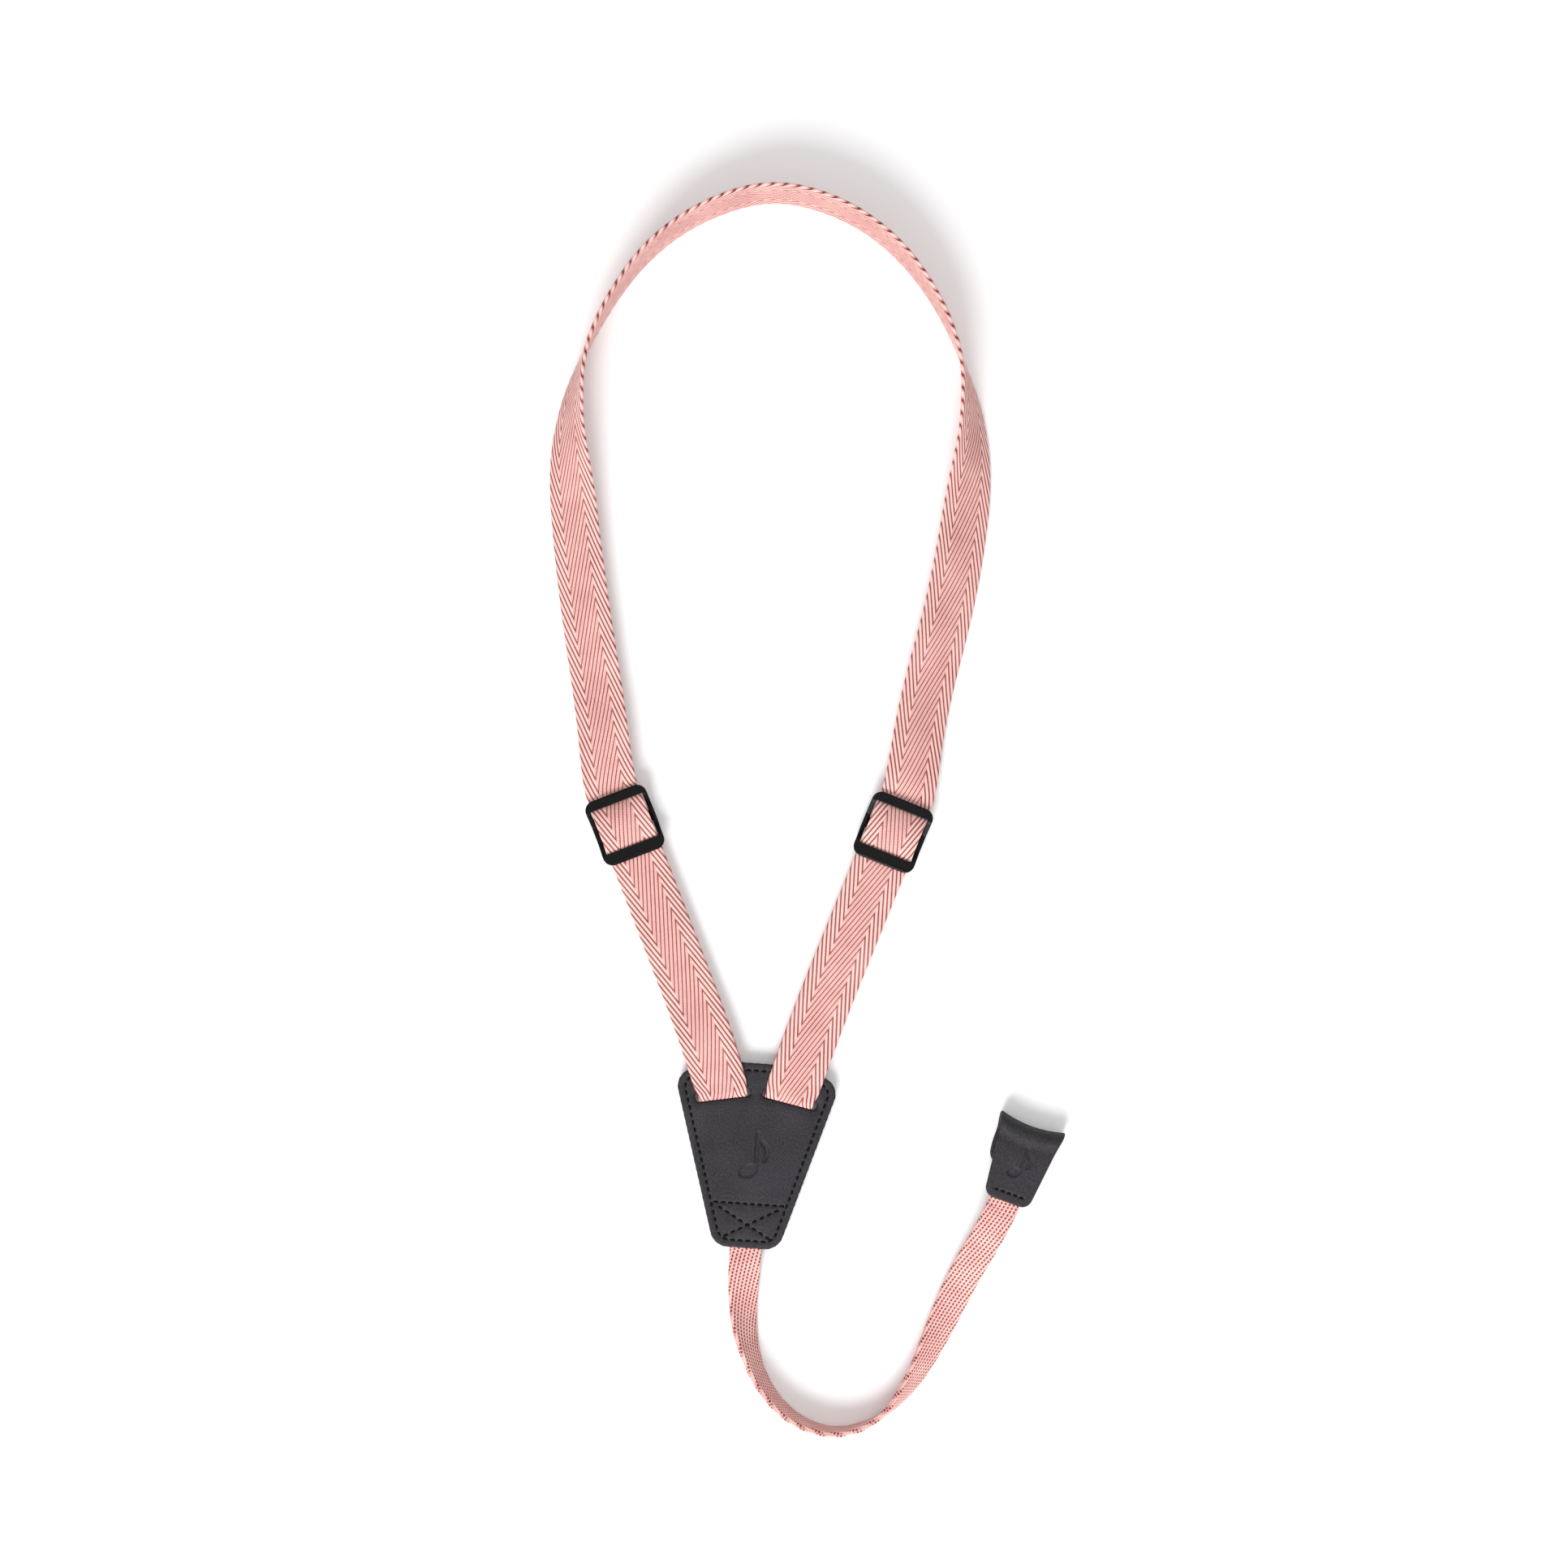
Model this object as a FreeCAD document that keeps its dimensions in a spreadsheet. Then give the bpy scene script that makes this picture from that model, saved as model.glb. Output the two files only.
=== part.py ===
import FreeCAD, Part
import math
import os

# A ukulele neck strap lying on a table: a neck loop of herringbone webbing, two
# plastic sliders, a stitched leather yoke, a narrow tail and a soundhole hook.
# Millimetres. +X right, +Y towards the nape, +Z up, the table at Z = 0.

Vector = FreeCAD.Vector
Rotation = FreeCAD.Rotation
Placement = FreeCAD.Placement
UP = Vector(0, 0, 1)

DIMENSIONS = {
    # neck webbing
    "neck_width": 20.0,
    "neck_thick": 1.4,
    "return_thick": 1.2,
    "return_level": 0.85,
    "through_level": 4.85,
    "bridge_level": 5.95,
    # sliders
    "slider_width": 24.4,
    "slider_length": 25.7,
    "slider_window": 20.7,
    "slider_top_bar": 3.8,
    "slider_low_bar": 4.8,
    "slider_centre_bar": 4.0,
    "slider_bar_low": 5.7,
    "slider_bar_high": 7.5,
    "slider_bar_thick": 1.3,
    "slider_corner": 3.8,
    "slider_window_corner": 2.4,
    "left_slider_x": -68.6,
    "left_slider_y": -6.3,
    "left_arm_angle": 21.0,
    "right_slider_x": 32.6,
    "right_slider_y": -9.0,
    "right_arm_angle": -22.0,
    # yoke
    "yoke_x": -23.1,
    "yoke_y": -166.1,
    "yoke_turn": -4.0,
    "yoke_level": 1.9,
    "leather_thick": 1.1,
    "core_thick": 1.1,
    "yoke_low_half": 12.2,
    "yoke_top_half": 31.6,
    "yoke_shoulder": 64.6,
    "yoke_height": 69.9,
    "yoke_crown_half": 9.0,
    "yoke_corner": 7.0,
    "yoke_crown_round": 18.0,
    "core_inset": 1.6,
    "slot_offset": 12.9,
    "slot_height": 58.7,
    "slot_tilt": 10.8,
    "slot_length": 21.2,
    "slot_wide": 3.6,
    "stitch_inset": 2.8,
    "thread": 0.7,
    "thread_deep": 0.3,
    "stitch_row_height": 16.7,
    # tail
    "tail_width": 12.0,
    "tail_thick": 2.0,
    "tail_end_thick": 1.1,
    "tail_anchor_length": 14.0,
    # hook
    "hook_x": 74.8,
    "hook_y": -148.0,
    "hook_turn": -20.0,
    "hook_high": 10.2,
    "hook_leather": 0.9,
    "hook_core": 1.2,
    "hook_lining": 0.7,
    "hook_low_half": 8.7,
    "hook_top_half": 12.6,
    "hook_reach": 29.8,
    "hook_dip": 1.9,
    "hook_flap_end": 11.5,
    "hook_corner": 3.4,
    "hook_web_length": 11.5,
}

# Control points of the neck webbing's centre line, slot to slot, seen from above.
# The four points either side of each slider lie on that arm's straight run.
NECK_LEFT_ARM = [(-31.87, -106.64), (-37.0, -89.5)]
NECK_ARM_STATIONS = [-68.0, -60.0, 10.0, 17.0]
NECK_LOOP = [
    (-78.0, 38.0),
    (-84.2, 78.0),
    (-88.0, 112.0),
    (-90.2, 142.0),
    (-85.4, 168.5),
    (-74.5, 191.0),
    (-59.0, 211.5),
    (-38.0, 225.8),
    (-12.5, 233.2),
    (13.5, 226.3),
    (34.0, 212.0),
    (49.4, 191.5),
    (59.2, 168.5),
    (63.2, 142.0),
    (60.4, 112.0),
    (54.6, 78.0),
    (43.8, 38.0),
]
NECK_RIGHT_ARM = [(-0.3, -91.5), (-6.14, -108.44)]

# Lean of the webbing from flat, by distance along it from a slider's centre.
NECK_LEAN = [
    (0, 0),
    (14, 0),
    (22, 9),
    (36, 16),
    (66, 19),
    (97, 22),
    (124, 27),
    (136, 36),
    (145, 46),
    (154, 57),
    (164, 67),
    (174, 78),
    (184, 87),
    (198, 92),
    (225, 97),
    (262, 100),
]

# Control points of the tail's centre line, yoke to hook, seen from above.
TAIL_ROUTE = [
    (-23.2, -168.0),
    (-24.4, -183.0),
    (-23.4, -200.0),
    (-17.2, -217.5),
    (-5.5, -231.0),
    (11.5, -236.6),
    (28.5, -230.4),
    (41.0, -215.0),
    (49.5, -197.5),
    (59.5, -176.0),
    (68.5, -160.5),
    (73.2, -150.8),
]

# Lean of the tail from flat, by distance along it from the yoke.
TAIL_LEAN = [
    (0, 0),
    (6, 8),
    (18, 30),
    (28, 45),
    (38, 61),
    (50, 71),
    (62, 78),
    (80, 88),
    (95, 92),
    (107, 103),
    (116, 117),
    (127, 130),
    (137, 144),
    (147, 157),
    (158, 170),
    (170, 179),
    (400, 180),
]


def make_sheet(doc):
    """The spreadsheet of driving dimensions, one alias a row."""
    sheet = doc.addObject("Spreadsheet::Sheet", "Dimensions")
    for row, (alias, value) in enumerate(DIMENSIONS.items(), start=1):
        sheet.set(f"A{row}", alias)
        sheet.set(f"B{row}", str(value))
        sheet.setAlias(f"B{row}", alias)
    doc.recompute()
    return sheet


class Strap:
    """The document, its spreadsheet and the frames of the yoke, hook and sliders."""

    def __init__(self):
        self.doc = FreeCAD.newDocument("NeckStrap")
        self.sheet = make_sheet(self.doc)
        self.parts = []
        size = self.size
        self.yoke = self.frame("yoke_x", "yoke_y", "yoke_turn")
        self.hook = self.frame("hook_x", "hook_y", "hook_turn")
        self.sliders = {
            "left": self.frame("left_slider_x", "left_slider_y", "left_arm_angle"),
            "right": self.frame("right_slider_x", "right_slider_y", "right_arm_angle"),
        }
        self.neck_route = Route(self.neck_points())
        self.tail_route = Route([Vector(x, y, 0) for x, y in TAIL_ROUTE])
        self.yoke_top = size("yoke_level") + 2 * size("leather_thick") + size("core_thick")

    def size(self, alias):
        return float(self.sheet.get(alias))

    def frame(self, x, y, turn):
        base = Vector(self.size(x), self.size(y), 0)
        return Placement(base, Rotation(UP, self.size(turn)))

    def neck_points(self):
        points = [Vector(x, y, 0) for x, y in NECK_LEFT_ARM]
        for along in NECK_ARM_STATIONS:
            points.append(self.sliders["left"].multVec(Vector(0, along, 0)))
        points += [Vector(x, y, 0) for x, y in NECK_LOOP]
        for along in reversed(NECK_ARM_STATIONS):
            points.append(self.sliders["right"].multVec(Vector(0, along, 0)))
        points += [Vector(x, y, 0) for x, y in NECK_RIGHT_ARM]
        return points

    def add(self, node, item):
        """Names a finished sub-part."""
        item.Label = node
        self.parts.append((node, item))
        return item

    def feature(self, node, shape, placement=None):
        """A sub-part whose shape is set in code."""
        item = self.doc.addObject("Part::Feature", node)
        item.Shape = shape
        if placement is not None:
            item.Placement = placement
        return self.add(node, item)


class Route:
    """A smooth line seen from above: a clamped quadratic spline through control points."""

    def __init__(self, points):
        inner = len(points) - 2
        knots = [float(i) for i in range(inner + 1)]
        mults = [3] + [1] * (inner - 1) + [3]
        self.curve = Part.BSplineCurve()
        self.curve.buildFromPolesMultsKnots(points, mults, knots, False, 2)
        self.length = self.curve.length()

    def at(self, distance):
        """The point and the unit direction that far along."""
        distance = min(max(distance, 0.0), self.length)
        here = self.curve.parameterAtDistance(distance, self.curve.FirstParameter)
        return self.curve.value(here), Vector(*self.curve.tangent(here)[0]).normalize()

    def nearest(self, point):
        """How far along the route the point nearest to a given one lies."""
        here = self.curve.parameter(point)
        return self.curve.length(self.curve.FirstParameter, here)


def smooth(low, high, value):
    """0 below low, 1 above high, and a smooth step between."""
    share = min(max((value - low) / (high - low), 0.0), 1.0)
    return share * share * (3 - 2 * share)


def read_off(table, distance):
    """A value between the rows of a table of (distance, value)."""
    for (low, first), (high, last) in zip(table, table[1:]):
        if distance <= high:
            return first + (last - first) * max(distance - low, 0) / (high - low)
    return table[-1][1]


def section(centre, across, normal, width, thick):
    """A rectangle of webbing: its centre, its width's direction and its face's normal."""
    half = across * (width / 2)
    rise = normal * (thick / 2)
    corners = [centre - half - rise, centre + half - rise]
    corners += [centre + half + rise, centre - half + rise]
    return Part.makePolygon(corners + corners[:1])


def ribbon(wires):
    """A closed solid through sections of webbing."""
    solid = Part.makeLoft(wires, True, True)
    return solid if solid.Volume > 0 else solid.reversed()


def steps(start, end, spacing):
    """Even distances from start to end, no further apart than spacing."""
    count = max(1, math.ceil(abs(end - start) / spacing))
    return [start + (end - start) * i / count for i in range(count + 1)]


# ---------------------------------------------------------------- neck webbing


def neck_section(strap, distance):
    """The section of the neck webbing at a distance along it from the left slot."""
    size = strap.size
    width, thick = size("neck_width"), size("neck_thick")
    route = strap.neck_route
    point, forward = route.at(distance)
    inward = Vector(forward.y, -forward.x, 0)
    from_slot = min(distance, route.length - distance)
    beyond = from_slot - strap.slider_distance
    lean = math.radians(read_off(NECK_LEAN, max(beyond, 0)))
    ground = width / 2 * math.sin(lean) + thick / 2 * abs(math.cos(lean))
    rest = size("through_level") - thick / 2
    level = ground + rest * (1 - smooth(13, 60, beyond))
    level += (size("bridge_level") - size("through_level")) * (1 - smooth(16, 40, from_slot))
    across = inward * math.cos(lean) + UP * math.sin(lean)
    if from_slot < 16:
        slot = strap.slot_direction("left" if distance < route.length / 2 else "right")
        share = 1 - smooth(0, 16, from_slot)
        across = (across * (1 - share) + slot * share).normalize()
    normal = across.cross(forward).normalize()
    if from_slot < 16:
        normal = UP
    centre = Vector(point.x, point.y, level)
    return section(centre, across, normal, width, thick)


def wrap_sections(strap, side):
    """Webbing from under the yoke's top edge, round the leather bridge, up the slot."""
    size = strap.size
    width, thick = size("neck_width"), size("neck_thick")
    route = strap.neck_route
    slot = strap.slot_direction(side)
    outward = Vector(slot.y, -slot.x, 0)
    radius = (size("bridge_level") - size("return_level")) / 2
    middle = (size("bridge_level") + size("return_level")) / 2
    wires = []
    for distance in (16.0, 11.0, 6.0):
        along = distance if side == "left" else route.length - distance
        point, forward = route.at(along)
        square = Vector(forward.y, -forward.x, 0)
        share = 1 - smooth(0, 16, distance)
        across = (square * (1 - share) + slot * share).normalize()
        centre = Vector(point.x, point.y, size("return_level"))
        wires.append(section(centre, across, UP * -1, width, thick))
    foot, _ = route.at(0 if side == "left" else route.length)
    for turn in steps(0, 165, 15):
        angle = math.radians(turn)
        out = outward * math.sin(angle)
        down = UP * -math.cos(angle)
        centre = foot + UP * middle + (out + down) * radius
        wires.append(section(centre, slot, (out + down), width, thick))
    return wires


def neck_webbing(strap):
    """The continuous neck webbing, from one slot's wrap round the neck to the other's."""
    route = strap.neck_route
    slider = strap.slider_distance
    far = route.length - slider
    places = steps(0, 45, 5)[:-1] + steps(45, slider + 13, 20)[:-1]
    places += steps(slider + 13, slider + 125, 8)[:-1]
    places += steps(slider + 125, far - 125, 5)[:-1]
    places += steps(far - 125, far - 13, 8)[:-1]
    places += steps(far - 13, route.length - 45, 20)[:-1]
    places += steps(route.length - 45, route.length, 5)
    wires = wrap_sections(strap, "left")
    wires += [neck_section(strap, place) for place in places]
    wires += list(reversed(wrap_sections(strap, "right")))
    strap.feature("neck_webbing", ribbon(wires))


def return_webbing(strap, side):
    """The webbing's straight way back, behind the arm, from the yoke to the slider."""
    size = strap.size
    route = strap.neck_route
    wires = []
    for distance in steps(16.2, strap.slider_distance - strap.fold_end - 0.2, 8):
        along = distance if side == "left" else route.length - distance
        point, forward = route.at(along)
        across = Vector(forward.y, -forward.x, 0)
        centre = Vector(point.x, point.y, size("return_level"))
        wires.append(section(centre, across, UP, size("neck_width"), size("return_thick")))
    strap.feature(f"{side}_return_webbing", ribbon(wires))


def end_fold(strap, side):
    """The webbing's end: under the centre bar, round it, and back onto itself."""
    size = strap.size
    thick = size("return_thick")
    low = size("return_level")
    high = low + size("slider_bar_thick") + thick + 0.1
    radius = (high - low) / 2
    middle = (high + low) / 2
    reach = size("slider_centre_bar") / 2 - 0.4
    line = [(-strap.fold_end, low, 0), (-6.0, low, 0), (reach, low, 0)]
    for turn in steps(0, 180, 20)[1:-1]:
        angle = math.radians(turn)
        line.append((reach + radius * math.sin(angle), middle - radius * math.cos(angle), turn))
    line += [(reach, high, 180), (-reach, high, 180)]
    line += [(-8.0, low + thick + 0.25, 180), (-15.0, low + thick + 0.1, 180)]
    wires = []
    for along, level, turn in line:
        angle = math.radians(turn)
        normal = Vector(0, -math.sin(angle), math.cos(angle))
        centre = Vector(0, along, level)
        wires.append(section(centre, Vector(1, 0, 0), normal, size("neck_width"), thick))
    strap.feature(f"{side}_end_fold", ribbon(wires), strap.sliders[side])


def end_stitching(strap, side):
    """The bar tack that holds the folded end down, on top of the fold."""
    size = strap.size
    level = size("return_level") + 1.5 * size("return_thick") + 0.1
    tack = strap.doc.addObject("Part::Box", f"{side}_end_stitching")
    tack.setExpression("Length", "Dimensions.neck_width - 3")
    tack.setExpression("Width", "Dimensions.thread * 2")
    tack.setExpression("Height", "Dimensions.thread_deep")
    corner = Vector(-(size("neck_width") - 3) / 2, -13.6, level + 0.1)
    tack.Placement = strap.sliders[side].multiply(Placement(corner, Rotation()))
    strap.add(f"{side}_end_stitching", tack)


# --------------------------------------------------------------------- sliders


def origin_plane(body, role):
    return next(f for f in body.Origin.OriginFeatures if f.Role == role)


def new_sketch(body, name, role, geometry):
    """A sketch of line segments and arcs on one of the body's own planes."""
    sketch = body.newObject("Sketcher::SketchObject", name)
    sketch.AttachmentSupport = [(origin_plane(body, role), "")]
    sketch.MapMode = "FlatFace"
    sketch.addGeometry(geometry, False)
    return sketch


def polygon_lines(points):
    """Line segments round a closed polygon of (x, y) points."""
    corners = [Vector(x, y, 0) for x, y in points]
    return [Part.LineSegment(a, b) for a, b in zip(corners, corners[1:] + corners[:1])]


def rounded_lines(points, radii):
    """Line segments and arcs round a closed polygon, each corner with its own radius."""
    corners = [Vector(x, y, 0) for x, y in points]
    count = len(corners)
    cuts = []
    for i, here in enumerate(corners):
        back = (corners[i - 1] - here).normalize()
        ahead = (corners[(i + 1) % count] - here).normalize()
        half = back.getAngle(ahead) / 2
        trim = radii[i] / math.tan(half)
        bisector = (back + ahead).normalize()
        centre = here + bisector * (radii[i] / math.sin(half))
        cuts.append((here + back * trim, centre - bisector * radii[i], here + ahead * trim))
    lines = []
    for i, (start, middle, end) in enumerate(cuts):
        lines.append(Part.Arc(start, middle, end))
        lines.append(Part.LineSegment(end, cuts[(i + 1) % count][0]))
    return lines


def slider(strap, side):
    """A moulded slider: bowed rails, two raised end bars and a low centre bar."""
    size, doc = strap.size, strap.doc
    half = size("slider_length") / 2
    low, high = size("slider_bar_low"), size("slider_bar_high")
    floor = size("return_level") + size("return_thick") / 2 + 0.05
    crown = floor + size("slider_bar_thick")
    top_bar = half - size("slider_top_bar")
    low_bar = half - size("slider_low_bar")
    centre = size("slider_centre_bar") / 2
    name = f"{side}_slider"

    rails = doc.addObject("PartDesign::Body", f"{name}_rails")
    side_view = [
        (-half, low), (-low_bar + 0.85, low), (-centre - 0.6, floor), (centre + 0.6, floor),
        (top_bar - 0.85, low), (half, low), (half, high), (top_bar - 0.4, high),
        (centre + 1.2, crown + 0.9), (-centre - 1.2, crown + 0.9), (-low_bar + 0.4, high), (-half, high),
    ]
    radii = [0.8, 2.0, 1.5, 1.5, 2.0, 0.8, 0.8, 2.0, 1.5, 1.5, 2.0, 0.8]
    profile = new_sketch(rails, f"{name}_profile", "YZ_Plane", rounded_lines(side_view, radii))
    pad = rails.newObject("PartDesign::Pad", f"{name}_pad")
    pad.Profile = profile
    pad.setExpression("Length", "Dimensions.slider_width")
    pad.Midplane = True
    doc.recompute()

    wide = size("slider_width") / 2
    round_by = size("slider_corner")
    corners = [(-wide, -half), (wide, -half), (wide, half), (-wide, half)]
    outline = Part.Face(Part.Wire([g.toShape() for g in rounded_lines(corners, [round_by] * 4)]))
    block = doc.addObject("Part::Feature", f"{name}_plan")
    block.Shape = outline.extrude(Vector(0, 0, high + 2))
    rounded = doc.addObject("Part::Common", f"{name}_rounded")
    rounded.Base, rounded.Tool = rails, block

    window = doc.addObject("Part::Box", f"{name}_window")
    window.setExpression("Length", "Dimensions.slider_window")
    window.Width = top_bar + low_bar
    window.Height = low - crown
    window.Placement.Base = Vector(-size("slider_window") / 2, -low_bar, crown)
    across = size("slider_window") / 2
    corners = [(-across, -low_bar), (across, -low_bar), (across, top_bar), (-across, top_bar)]
    rim = rounded_lines(corners, [size("slider_window_corner")] * 4)
    mouth = doc.addObject("Part::Feature", f"{name}_mouth")
    mouth.Shape = Part.Face(Part.Wire([g.toShape() for g in rim])).extrude(Vector(0, 0, high))
    mouth.Placement.Base = Vector(0, 0, low - 0.5)
    lower = []
    for tag, start, end in (("upper", centre, top_bar), ("lower", -low_bar, -centre)):
        hole = doc.addObject("Part::Box", f"{name}_{tag}_hole")
        hole.setExpression("Length", "Dimensions.slider_window")
        hole.Width = end - start
        hole.Height = high
        hole.Placement.Base = Vector(-size("slider_window") / 2, start, 0)
        lower.append(hole)
    holes = doc.addObject("Part::MultiFuse", f"{name}_holes")
    holes.Shapes = [window] + lower
    opened = doc.addObject("Part::Cut", f"{name}_opened")
    opened.Base, opened.Tool = rounded, holes
    frame = doc.addObject("Part::Cut", name)
    frame.Base, frame.Tool = opened, mouth
    doc.recompute()
    frame.Placement = strap.sliders[side]
    strap.add(name, frame)


# ------------------------------------------------------------------------ yoke


def yoke_outline(strap, inset=0.0):
    """The yoke's plan: a tapered shield with round corners and a low crown."""
    size = strap.size
    low, top = size("yoke_low_half") - inset, size("yoke_top_half") - inset
    shoulder, height = size("yoke_shoulder") - inset, size("yoke_height") - inset
    crown = size("yoke_crown_half")
    points = [(-low, inset), (low, inset), (top, shoulder), (crown, height)]
    points += [(-crown, height), (-top, shoulder)]
    corner, gentle = size("yoke_corner") - inset, size("yoke_crown_round")
    return rounded_lines(points, [corner, corner, corner - 0.5, gentle, gentle, corner - 0.5])


def slot_lines(strap, side):
    """A slot's rounded outline in the yoke's frame."""
    size = strap.size
    sign = -1 if side == "left" else 1
    length, wide = size("slot_length"), size("slot_wide")
    middle = Vector(sign * size("slot_offset"), size("slot_height"), 0)
    turn = Rotation(UP, -sign * size("slot_tilt"))
    corners = []
    for x, y in ((-1, -1), (1, -1), (1, 1), (-1, 1)):
        spot = Vector(x * length / 2, y * wide / 2 - wide / 2 + 0.2, 0)
        spot = middle + turn.multVec(spot)
        corners.append((spot.x, spot.y))
    return rounded_lines(corners, [wide * 0.4] * 4)


def stitch_bars(strap):
    """The yoke's row and crossed box of stitches, as (start, end) lines in its frame."""
    row = strap.size("stitch_row_height")
    foot = strap.size("stitch_inset") + 1.0
    return [
        (Vector(-13.9, row, 0), Vector(13.9, row, 0)),
        (Vector(-11.6, row - 1.6, 0), Vector(9.0, foot, 0)),
        (Vector(11.6, row - 1.6, 0), Vector(-9.0, foot, 0)),
    ]


def bar_solid(start, end, wide, low, high):
    """A straight bar of thread between two points."""
    along = end - start
    solid = Part.makeBox(along.Length, wide, high - low)
    turn = Rotation(Vector(1, 0, 0), along)
    solid.Placement = Placement(start + turn.multVec(Vector(0, -wide / 2, 0)) + UP * low, turn)
    return solid


def seam_ring(strap, wide, low, high):
    """The band of thread that follows the yoke's edge."""
    plan = Part.Face(Part.Wire([g.toShape() for g in yoke_outline(strap)]))
    inset = strap.size("stitch_inset")
    outer = plan.makeOffset2D(-(inset - wide / 2))
    inner = plan.makeOffset2D(-(inset + wide / 2))
    ring = outer.cut(inner).extrude(UP * (high - low))
    ring.translate(UP * low)
    return Part.makeCompound([ring])


def stitch_solids(strap, slack, low, high):
    """The edge seam, and the row with the crossed box, cut apart so that none overlap."""
    wide = strap.size("thread") + slack
    ring = seam_ring(strap, wide, low, high)
    bars = [bar_solid(a, b, wide, low, high) for a, b in stitch_bars(strap)]
    row = bars[0].cut(ring)
    cross = bars[1].fuse(bars[2]).removeSplitter().cut(ring).cut(row)
    return ring, row, cross


def yoke_plate(strap, node, level, thick, inset, notch=False):
    """One flat layer of the yoke with its two slots."""
    size, doc = strap.size, strap.doc
    body = doc.addObject("PartDesign::Body", node)
    geometry = yoke_outline(strap, inset)
    for side in ("left", "right"):
        geometry += slot_lines(strap, side)
    plan = new_sketch(body, f"{node}_plan", "XY_Plane", geometry)
    pad = body.newObject("PartDesign::Pad", f"{node}_pad")
    pad.Profile = plan
    pad.setExpression("Length", f"Dimensions.{thick}")
    doc.recompute()
    if notch:
        half = size("tail_width") / 2 + 0.3
        deep = size("tail_anchor_length") + 0.3
        corners = [(-half, -1.0), (half, -1.0), (half, deep), (-half, deep)]
        before = body.Shape.Volume
        bay = new_sketch(body, f"{node}_bay", "XY_Plane", polygon_lines(corners))
        pocket = body.newObject("PartDesign::Pocket", f"{node}_pocket")
        pocket.Profile = bay
        pocket.Type = "ThroughAll"
        pocket.Midplane = True
        doc.recompute()
        if body.Shape.Volume >= before:
            raise RuntimeError(f"{node}: the tail's bay cut nothing")
    body.Placement = strap.yoke.multiply(Placement(Vector(0, 0, level), Rotation()))
    return body


def yoke(strap):
    """Back leather, stiffener with a bay for the tail, front leather and its stitching."""
    size, doc = strap.size, strap.doc
    low = size("yoke_level")
    leather, core = size("leather_thick"), size("core_thick")
    back = yoke_plate(strap, "yoke_back_leather", low, "leather_thick", 0.0)
    strap.add("yoke_back_leather", back)
    middle = yoke_plate(strap, "yoke_stiffener", low + leather, "core_thick", size("core_inset"), True)
    strap.add("yoke_stiffener", middle)

    top = strap.yoke_top
    deep = size("thread_deep")
    groove = doc.addObject("Part::Feature", "yoke_stitch_groove")
    cuts = stitch_solids(strap, 0.1, top - deep, top + 1.0)
    groove.Shape = Part.makeCompound([cuts[0], cuts[1], cuts[2]])
    groove.Placement = strap.yoke
    plate = yoke_plate(strap, "yoke_front_plate", low + leather + core, "leather_thick", 0.0)
    front = doc.addObject("Part::Cut", "yoke_front_leather")
    front.Base, front.Tool = plate, groove
    doc.recompute()
    strap.add("yoke_front_leather", front)

    ring, row, cross = stitch_solids(strap, 0.0, top - deep, top - 0.02)
    strap.feature("yoke_edge_stitching", ring, strap.yoke)
    strap.feature("yoke_row_stitching", row, strap.yoke)
    strap.feature("yoke_cross_stitching", cross, strap.yoke)

    anchor = doc.addObject("Part::Box", "tail_anchor")
    anchor.setExpression("Length", "Dimensions.tail_width")
    anchor.setExpression("Width", "Dimensions.tail_anchor_length + 0.8")
    anchor.setExpression("Height", "Dimensions.tail_end_thick")
    corner = Vector(-size("tail_width") / 2, -0.8, low + leather)
    anchor.Placement = strap.yoke.multiply(Placement(corner, Rotation()))
    strap.add("tail_anchor", anchor)


# ------------------------------------------------------------------------ tail


def tail_webbing(strap):
    """The narrow webbing, which turns over half a turn on its way to the hook."""
    size = strap.size
    width, thick = size("tail_width"), size("tail_thick")
    route = strap.tail_route
    start_level = size("yoke_level") + size("leather_thick") + size("core_thick") / 2
    end_level = size("hook_high") - size("hook_leather") - size("hook_core") / 2
    wires = []
    for distance in steps(0.0, route.length, 4):
        point, forward = route.at(distance)
        inward = Vector(forward.y * -1, forward.x, 0)
        lean = math.radians(read_off(TAIL_LEAN, distance))
        slim = smooth(0, 5, distance) * smooth(0, 5, route.length - distance)
        deep = size("tail_end_thick") + (thick - size("tail_end_thick")) * slim
        ground = width / 2 * math.sin(lean) + deep / 2 * abs(math.cos(lean))
        level = ground + (start_level - deep / 2) * (1 - smooth(0, 22, distance))
        level += (end_level - deep / 2) * (1 - smooth(0, 50, route.length - distance))
        across = inward * math.cos(lean) - UP * math.sin(lean)
        normal = inward * math.sin(lean) + UP * math.cos(lean)
        wires.append(section(Vector(point.x, point.y, level), across, normal, width, deep))
    strap.feature("tail_webbing", ribbon(wires))


# ------------------------------------------------------------------------ hook


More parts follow.
